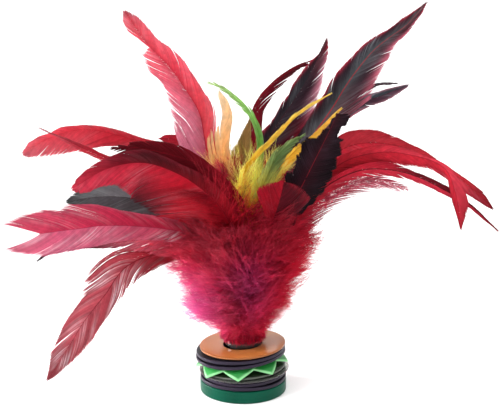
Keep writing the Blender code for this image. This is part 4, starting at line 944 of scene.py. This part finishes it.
def plume(k):
    node = "down_plume_%02d" % (k + 1)
    rng = np.random.default_rng(500 + k)
    az = 2 * math.pi * (k + 0.5) / PLUMES
    out = np.array((math.cos(az), math.sin(az), 0.0))
    full = 0.5 - 0.5 * math.cos(az)
    foot = out * 4.3
    rz = [(10.5 + 1.5 * full, 33.5 - 0.8 * full), (15.0 + 3.0 * full, 40.5 - 2.0 * full),
          (20.0 + 3.5 * full, 48.0 - 2.0 * full), (25.0 + 3.5 * full, 56.0 - 1.5 * full)]
    knots = [foot + np.array((0, 0, TUBE_TOP + 0.4)), out * 6.6 + np.array((0, 0, TUBE_TOP + 3.0))]
    knots += [out * r + np.array((0, 0, z)) for r, z in rz]
    shaft = Shaft(knots, unit(out + np.array((0, 0, -0.35))), 0.0, 80)
    total = shaft.length
    pile = Pile()
    stem = shaft.at(np.linspace(0, total, 40))[0]
    tube(pile, stem, np.linspace(0.26, 0.08, 40), np.broadcast_to(rgb((190, 34, 78)), (40, 3)), (0.97, 1.0))

    # tufts of barbs that end on the ball's surface
    tufts, each = 88, 15
    n = tufts * each
    own_az = az + (rng.random(tufts) - 0.5) * 2 * math.pi / PLUMES * 1.25
    high = 26.0 + 76.0 * rng.random(tufts) ** 0.9
    swell = 1.0 + 0.055 * rng.standard_normal(tufts)
    deep = 0.69 + 0.34 * rng.random(tufts) ** 0.5

    def spread(a, amount):
        return np.repeat(a, each) + amount * rng.standard_normal(n)
    a, z = spread(own_az, 0.072), np.maximum(spread(high, 1.9), 25.6)
    way = np.stack([np.cos(a), np.sin(a), np.zeros(n)], -1)
    goal = way + np.array((0, 0, 0.0))
    goal[:, 2] = z
    aside = ball_edge(goal) * np.cos(a) - 4.0
    rise = np.where(aside > 0, np.clip((aside - 4.0) / 14.0, 0, 1), np.clip((-aside - 20.0) / 12.0, 0, 1))
    top = np.where(np.sin(a) < 0.25, 84.0 + 16.0 * rise ** 1.5, 104.0)
    z = np.where(z > top, top - 0.8 * (z - top), z)
    goal[:, 2] = z
    stray = np.where(rng.random(n) < 0.12, 0.04 + 0.12 * rng.random(n), 0.0)
    goal[:, :2] *= (ball_edge(goal) * np.repeat(swell * deep, each) * (1 + stray + 0.03 * rng.standard_normal(n)))[:, None]
    axis = np.zeros((n, 3))
    axis[:, 2] = 0.60 * z + 0.40 * 47.0 - 6.0
    reach = np.linalg.norm(goal - axis, axis=1)
    length = np.minimum(0.84 * reach, 10.0 + 8.0 * rng.random(n))
    aim = unit(goal - axis)
    aim[:, 1] *= np.where(aim[:, 1] < 0, 0.45, 0.8)
    way = unit(unit(aim) + np.repeat(0.20 * rng.standard_normal((tufts, 3)), each, 0)
               + 0.07 * rng.standard_normal((n, 3)))
    bend = np.array((0, 0, -0.10)) + 0.12 * rng.standard_normal((n, 3))
    base = goal - length[:, None] * (way + bend)
    shade = np.repeat(rng.random(tufts), each)
    # strand ends paler, and paler towards the left: partly their own colour, partly painted light on the lit side
    pale = 0.06 + 0.12 * np.clip((4.0 - goal[:, 0]) / 16.0, 0, 1)
    end = mix(ball_colour(goal, rng, shade), rgb((240, 148, 166)), pale[:, None])
    # painted shade: the roots, deep in the ball, are darker than the tips
    root = ball_colour(base, rng, shade) * 0.88
    down(pile, base, way, bend, length, root, np.clip(end, 0, 1), rng, (0.30, 0.97), 6, barbules=17, fork=2.7, splay=0.42)

    # loose inner down that fills the ball, darkened as painted shade
    n = 190
    a = az + (rng.random(n) - 0.5) * 2 * math.pi / PLUMES * 1.6
    z = 28.0 + 58.0 * rng.random(n)
    base = np.stack([np.cos(a), np.sin(a), np.zeros(n)], -1)
    base[:, 2] = z
    base[:, :2] *= (ball_edge(base) * (0.16 + 0.40 * rng.random(n)))[:, None]
    way = unit(np.stack([np.cos(a), np.sin(a), np.full(n, 0.5)], -1) + 0.7 * rng.standard_normal((n, 3)))
    way[z < 40.0, 2] = np.abs(way[z < 40.0, 2])
    bend = 0.2 * rng.standard_normal((n, 3))
    length = 6.0 + 4.0 * rng.random(n)
    shade = rng.random(n)
    tone = np.clip(ball_colour(base, rng, shade), 0, 1)
    # painted shade: the inner down is darkened
    down(pile, base, way, bend, length, tone * 0.75, tone * 0.95, rng, (0.0, 0.15), 1, barbules=20, fork=3.6, fine=0.08)

    # barbs that lie down along the neck
    n = 110
    a = az + (rng.random(n) - 0.5) * 2 * math.pi / PLUMES * 1.3
    ring = np.stack([np.cos(a), np.sin(a), np.zeros(n)], -1)
    base = ring * (7.4 + 0.9 * rng.random((n, 1)))
    base[:, 2] = 29.0 + 4.5 * rng.random(n)
    way = unit(ring * (0.07 + 0.10 * rng.random((n, 1))) + np.array((0, 0, -1.0)) + 0.05 * rng.standard_normal((n, 3)))
    bend = ring * 0.04
    length = (base[:, 2] - 23.4 - 1.2 * rng.random(n) ** 2) / -way[:, 2]
    shade = rng.random(n)
    tip = base + length[:, None] * (way + bend)
    # painted shade: the neck's strands are darker, most at their roots under the ball
    down(pile, base, way, bend, length, ball_colour(base, rng, shade) * 0.72, np.clip(ball_colour(tip, rng, shade) * 0.9, 0, 1),
         rng, (0.15, 0.30), 1, barbules=14, fork=1.1, splay=0.5)
    ob = pile.build("look_" + node, DOWN_MAT)
    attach(ob, "core")
    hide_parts(node)


for k in range(PLUMES):
    plume(k)


# ---------------------------------------------------------------- discs and base
def rounded(points, sizes, steps=5):
    """Closed outline with its corners rounded."""
    out = []
    n = len(points)
    for i in range(n):
        p, a, b = (np.array(points[j % n], float) for j in (i, i - 1, i + 1))
        r = sizes[i]
        if r <= 0:
            out.append(p)
            continue
        da, db = unit(a - p), unit(b - p)
        r = min(r, 0.48 * np.linalg.norm(a - p), 0.48 * np.linalg.norm(b - p))
        for q in np.linspace(0, 1, steps):
            out.append(p + da * r * (1 - q) ** 2 + db * r * q ** 2)
    return np.array(out)


def lathe(name, profile, material, node, body, slot, centre=(0, 0, 0), lean=0.0, steps=144, warp=None, closed=True):
    """Round piece from a closed outline of (r, z)."""
    k = len(profile)
    ang = 2 * np.pi * np.arange(steps) / steps
    r = profile[:, 0][None, :] * np.ones((steps, 1))
    z = profile[:, 1][None, :] * np.ones((steps, 1))
    a = ang[:, None] * np.ones((1, k))
    if warp:
        z = z + warp(r, a)
    co = np.stack([r * np.cos(a), r * np.sin(a), z], -1)
    turned = math.radians(lean)
    c, s = math.cos(turned), math.sin(turned)
    x, y, z = co[..., 0], co[..., 1], co[..., 2]
    co = np.stack([x * c - z * s + centre[0], y + centre[1], x * s + z * c + centre[2]], -1)
    return co, k, steps


def round_piece(name, profile, material, node, body, slot, centre=(0, 0, 0), lean=0.0, steps=144, warp=None):
    co, k, steps = lathe(name, profile, material, node, body, slot, centre, lean, steps, warp)
    idx = np.arange(steps * k).reshape(steps, k)
    nxt, up = np.roll(idx, -1, 0), np.roll(idx, -1, 1)
    quads = np.stack([idx, nxt, np.roll(nxt, -1, 1), up], -1).reshape(-1, 4)
    mesh = bpy.data.meshes.new(name)
    mesh.from_pydata((co.reshape(-1, 3) * MM).tolist(), [], quads.tolist())
    mesh.polygons.foreach_set("use_smooth", np.ones(len(quads), bool))
    mesh.set_sharp_from_angle(angle=math.radians(50))
    run = profile[:, 0] * 0 + np.arange(k)
    rim = (profile[:, 0] - profile[:, 0].min()) / np.ptp(profile[:, 0])
    attr = mesh.attributes.new("rim", "FLOAT", "POINT")
    attr.data.foreach_set("value", np.tile(rim, steps).astype(np.float32))
    mesh.materials.append(material)
    ob = bpy.data.objects.new(name, mesh)
    bpy.context.scene.collection.objects.link(ob)
    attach(ob, body)
    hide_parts(node)
    return ob


def link_mix(tree, factor, a, b, target):
    """Mix two colours by a factor socket into a target socket."""
    m = tree.nodes.new("ShaderNodeMix")
    m.data_type = "RGBA"
    m.inputs[6].default_value = (*rgb(a), 1.0)
    m.inputs[7].default_value = (*rgb(b), 1.0)
    tree.links.new(factor, m.inputs[0])
    tree.links.new(m.outputs[2], target)
    return m


def rim_factor(tree, low, high):
    attr = tree.nodes.new("ShaderNodeAttribute")
    attr.attribute_name = "rim"
    span = tree.nodes.new("ShaderNodeMapRange")
    span.interpolation_type = "SMOOTHSTEP"
    span.inputs["From Min"].default_value = low
    span.inputs["From Max"].default_value = high
    tree.links.new(attr.outputs["Fac"], span.inputs["Value"])
    return span.outputs["Result"]


def bumped(tree, bsdf, scale, strength, stretch=None, detail=4.0):
    tone = noise_tone(tree, scale, 0.0, 1.0, detail, stretch)
    bump = tree.nodes.new("ShaderNodeBump")
    bump.inputs["Strength"].default_value = strength
    bump.inputs["Distance"].default_value = 0.0002
    tree.links.new(tone, bump.inputs["Height"])
    tree.links.new(bump.outputs["Normal"], bsdf.inputs["Normal"])


def noisy(name, a, b, scale, bump=None, stretch=None, **values):
    mat, tree, bsdf, _ = nodes_of(name)
    link_mix(tree, noise_tone(tree, scale, 0.0, 1.0, 4.0, stretch), a, b, bsdf.inputs["Base Color"])
    put(bsdf, **values)
    if bump:
        bumped(tree, bsdf, *bump)
    return mat


def rimmed(name, a, b, rim_wear_and_painted_light, scale, low, high, bump, **values):
    """Noise colour whose rim turns to another colour: partly dusty wear and partly a painted highlight on the rubber, a
    painted highlight on the clear pieces, a darker rim on the top disc.
    """
    mat, tree, bsdf, _ = nodes_of(name)
    inner = link_mix(tree, noise_tone(tree, scale, 0.0, 1.0, 4.0), a, b, bsdf.inputs["Base Color"])
    edge = tree.nodes.new("ShaderNodeMix")
    edge.data_type = "RGBA"
    tree.links.new(inner.outputs[2], edge.inputs[6])
    edge.inputs[7].default_value = (*rgb(rim_wear_and_painted_light), 1.0)
    tree.links.new(rim_factor(tree, low, high), edge.inputs[0])
    tree.links.new(edge.outputs[2], bsdf.inputs["Base Color"])
    put(bsdf, **values)
    bumped(tree, bsdf, *bump)
    return mat


SOLE_MAT = noisy("sole_look", (0, 63, 46), (2, 75, 56), 60.0, (700.0, 0.25), Roughness=0.36,
                 Specular_IOR_Level=0.10)
# the rubber's paler rim is partly dusty edge colour, partly a painted highlight
RUBBER_MAT = rimmed("black_rubber_look", (15, 12, 18), (25, 20, 29), (38, 31, 46), 240.0, 0.93, 1.0,
                    (900.0, 0.35), Roughness=0.36, Specular_IOR_Level=0.16)
TOP_MAT = rimmed("top_disc_look", (166, 96, 44), (186, 120, 66), (140, 82, 40), 35.0, 0.965, 1.0,
                 (300.0, 0.04), Roughness=0.22, Specular_IOR_Level=0.28, Coat_Weight=0.1, Coat_Roughness=0.04)
COLLAR_MAT = noisy("collar_look", (20, 20, 22), (34, 32, 36), 300.0, (900.0, 0.15), Roughness=0.3)
STEEL_MAT = noisy("washer_look", (150, 150, 152), (190, 190, 192), 500.0, (1200.0, 0.2), Metallic=1.0, Roughness=0.32)
THREAD_MAT = noisy("thread_look", (120, 16, 30), (158, 30, 46), 2500.0, (3000.0, 0.5), Roughness=0.8)
GLUE_MAT = noisy("glue_look", (190, 160, 100), (212, 184, 124), 300.0, (500.0, 0.3), Roughness=0.4)
# the clear disc's paler rim is a painted highlight along its edge
CLEAR_MAT = rimmed("clear_disc_look", (160, 166, 156), (184, 188, 178), (196, 190, 194), 90.0, 0.96, 1.0, (400.0, 0.08), Roughness=0.2,
                  Transmission_Weight=0.9, IOR=1.25, Specular_IOR_Level=0.25)
# the dome's paler rim is a painted highlight along its edge
SMOKE_MAT = rimmed("clear_dome_look", (28, 42, 25), (40, 54, 35), (110, 116, 106), 120.0, 0.94, 1.0, (500.0, 0.12), Roughness=0.24,
                  Transmission_Weight=0.5, IOR=1.3, Specular_IOR_Level=0.3)

round_piece("look_sole", rounded([(0.02, 0.0), (19.0, 0.0), (19.0, 5.3), (6.1, 5.3), (6.1, 3.5), (8.3, 3.5),
                                  (8.3, 1.7), (0.02, 1.7)], [0, 0.6, 0.5, 0.2, 0, 0, 0, 0]),
            SOLE_MAT, "sole", "core", "sole_rubber")


def wavy(amount, waves, phase, outer):
    def lift(r, a):
        return amount * np.sin(waves * a + phase) * np.clip((r - 8.0) / (outer - 8.0), 0, 1) ** 2
    return lift


def disc_profile(outer, hole, thick, edge):
    h = thick / 2
    return rounded([(hole, -h), (outer, -h), (outer, h), (hole, h)], [0.1, edge, edge, 0.1])


# node: body, slot, material, radius, mid height, thickness, lean, shift, hole, edge, wave
DISCS = (
    ("lower_rubber_disc_a", "lower_disc_a", "black_rubber", RUBBER_MAT, 18.9, 6.45, 1.5, 0.0, 0.0, 6.6, 0.35, (0.18, 3, 0.4)),
    ("lower_rubber_disc_b", "lower_disc_b", "black_rubber", RUBBER_MAT, 18.6, 8.50, 1.4, 1.0, 0.2, 6.6, 0.3, (0.20, 2, 1.7)),
    ("clear_flat_disc", "clear_flat", "clear_plastic", CLEAR_MAT, 19.7, 10.02, 0.5, 1.8, 0.4, 6.6, 0.15, (0.06, 2, 0.2)),
    ("upper_rubber_disc_b", "upper_disc_b", "black_rubber", RUBBER_MAT, 19.8, 16.95, 1.4, 5.0, -1.1, 7.4, 0.3, (0.22, 2, 2.6)),
    ("upper_rubber_disc_a", "upper_disc_a", "black_rubber", RUBBER_MAT, 19.6, 18.95, 1.4, 4.4, -1.1, 7.4, 0.3, (0.13, 3, 0.9)),
    ("top_disc", "top", "top_plastic", TOP_MAT, 18.9, 20.80, 0.8, 3.0, -0.3, 8.6, 0.25, (0.03, 2, 0.5)),
)
for node, body, slot, mat, outer, mid, thick, lean, shift, hole, edge, wave in DISCS:
    round_piece("look_" + node, disc_profile(outer, hole, thick, edge), mat, node, body, slot,
                (shift, 0.0, mid), lean, warp=wavy(*wave, outer))

DOME_LINE = np.array([(6.6, 0.0), (9.0, -0.1), (12.0, -0.4), (14.0, -0.75), (15.6, -1.2), (17.1, -1.85), (18.4, -2.6)])
DOME_SKIN = np.concatenate([DOME_LINE, [(18.45, -2.85)], DOME_LINE[::-1] - np.array((0.0, 0.5))])[::-1]
round_piece("look_clear_dome_disc", DOME_SKIN, SMOKE_MAT, "clear_dome_disc", "clear_dome", "clear_plastic",
            (0.1, 0.0, 14.0), 3.2)


def star_piece():
    """Toothed disc with drooping teeth and pale cut edges."""
    teeth, per, flat_r, valley, tip, half = 8, 24, 15.5, 17.3, 20.5, 0.35
    n, rows = teeth * per, 12
    ang = 2 * np.pi * np.arange(n) / n + math.radians(-94.0 - 22.5)
    k = (np.arange(n) % per) / per
    rim = valley + (tip - valley) * (1.0 - np.abs(2.0 * k - 1.0))
    q = np.linspace(0, 1, rows)
    inner = np.full(n, 7.4)
    r = inner[:, None] + (rim - inner)[:, None] * q[None] ** 0.7
    droop = -3.9 * (np.clip(r - flat_r, 0, None) / (tip - flat_r)) ** 1.55
    a = ang[:, None] * np.ones((1, rows))
    far = (rim[:, None] - r)
    loops = [(r, droop + half), (r[:, ::-1], droop[:, ::-1] - half)]
    rr = np.concatenate([loops[0][0], loops[1][0]], 1)
    zz = np.concatenate([loops[0][1], loops[1][1]], 1)
    edge = np.concatenate([far, far[:, ::-1]], 1)
    aa = np.concatenate([a, a], 1)
    x, y, z = rr * np.cos(aa), rr * np.sin(aa), zz
    c, s = math.cos(math.radians(5.0)), math.sin(math.radians(5.0))
    co = np.stack([x * c - z * s - 1.0, y, x * s + z * c + 15.35], -1)
    m = rows * 2
    idx = np.arange(n * m).reshape(n, m)
    nxt = np.roll(idx, -1, 0)
    quads = np.stack([idx, np.roll(idx, -1, 1), np.roll(nxt, -1, 1), nxt], -1).reshape(-1, 4)
    mesh = bpy.data.meshes.new("look_star_disc")
    mesh.from_pydata((co.reshape(-1, 3) * MM).tolist(), [], quads.tolist())
    mesh.polygons.foreach_set("use_smooth", np.ones(len(quads), bool))
    mesh.set_sharp_from_angle(angle=math.radians(50))
    attr = mesh.attributes.new("rim", "FLOAT", "POINT")
    attr.data.foreach_set("value", np.clip(1.0 - edge / 4.0, 0, 1).ravel().astype(np.float32))
    mat, tree, bsdf, out = nodes_of("star_disc_look")
    inner = link_mix(tree, noise_tone(tree, 120.0, 0.0, 1.0, 3.0), (36, 140, 58), (52, 162, 74), bsdf.inputs["Base Color"])
    pale = tree.nodes.new("ShaderNodeMix")
    pale.data_type = "RGBA"
    tree.links.new(inner.outputs[2], pale.inputs[6])
    pale.inputs[7].default_value = (*rgb((150, 226, 156)), 1.0)
    tree.links.new(rim_factor(tree, 0.82, 1.0), pale.inputs[0])
    tree.links.new(pale.outputs[2], bsdf.inputs["Base Color"])
    put(bsdf, Roughness=0.3, Specular_IOR_Level=0.5)
    glow = tree.nodes.new("ShaderNodeBsdfTranslucent")
    tree.links.new(pale.outputs[2], glow.inputs["Color"])
    both = tree.nodes.new("ShaderNodeMixShader")
    both.inputs["Fac"].default_value = 0.35
    tree.links.new(bsdf.outputs["BSDF"], both.inputs[1])
    tree.links.new(glow.outputs["BSDF"], both.inputs[2])
    tree.links.new(both.outputs["Shader"], out.inputs["Surface"])
    mesh.materials.append(mat)
    ob = bpy.data.objects.new("look_star_disc", mesh)
    bpy.context.scene.collection.objects.link(ob)
    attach(ob, "star")
    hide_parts("star_disc")


star_piece()

round_piece("look_collar_ring", rounded([(6.1, 21.1), (7.9, 21.1), (7.9, 23.7), (6.1, 23.7)], [0.1, 0.5, 0.6, 0.1]),
            COLLAR_MAT, "collar_ring", "core", "black_plastic", steps=96)
KEPT = {"feather_tube": COLLAR_MAT, "weight_washer": STEEL_MAT, "binding_thread": THREAD_MAT, "glue_plug": GLUE_MAT}
for node, mat in KEPT.items():
    data = frame["nodes"][node].data
    data.materials.clear()
    data.materials.append(mat)

# ---------------------------------------------------------------- stage, light, camera
floor_mesh = bpy.data.meshes.new("floor")
floor_mesh.from_pydata([(-6, -6, 0), (6, -6, 0), (6, 6, 0), (-6, 6, 0)], [], [(0, 1, 2, 3)])
floor = bpy.data.objects.new("floor", floor_mesh)
floor.location.z = -0.0001
bpy.context.scene.collection.objects.link(floor)
floor_mesh.materials.append(noisy("floor_look", (253, 253, 253), (255, 255, 255), 2.0, Roughness=0.8,
                                  Specular_IOR_Level=0.1))


def area(name, place, aim, size, watts, colour=(1, 1, 1)):
    data = bpy.data.lights.new(name, "AREA")
    data.shape = "DISK"
    data.size, data.energy, data.color = size, watts, colour
    ob = bpy.data.objects.new(name, data)
    ob.location = place
    ob.rotation_euler = (Vector(aim) - Vector(place)).to_track_quat("-Z", "Y").to_euler()
    bpy.context.scene.collection.objects.link(ob)
    return ob


area("key", (-0.80, -0.62, 0.74), (0, 0, 0.08), 0.5, 9.6)
area("top", (0.05, -0.45, 0.85), (0.01, 0, 0.09), 0.25, 1.5)
area("side", (-0.55, 0.12, 0.09), (0, 0, 0.012), 0.14, 0.20).data.spread = math.radians(30)
area("fill", (0.8, -0.6, 0.45), (0, 0, 0.08), 0.7, 0.8)
area("back", (0.15, 0.9, 0.75), (0, 0, 0.09), 0.7, 4.0)

world = bpy.data.worlds.new("studio")
bpy.context.scene.world = world
world.use_nodes = True
world.node_tree.nodes["Background"].inputs["Color"].default_value = (1.0, 1.0, 1.0, 1.0)
world.node_tree.nodes["Background"].inputs["Strength"].default_value = 1.0
bpy.context.scene.view_settings.view_transform = "Standard"

cam_data = bpy.data.cameras.new("camera")
cam_data.sensor_width = 36.0
cam_data.lens = 36.0 * EYE_F / 500.0
cam = bpy.data.objects.new("camera", cam_data)
cam.location = Vector(EYE * MM)
cam.rotation_euler = Vector(AHEAD).to_track_quat("-Z", "Y").to_euler()
bpy.context.scene.collection.objects.link(cam)
bpy.context.scene.camera = cam
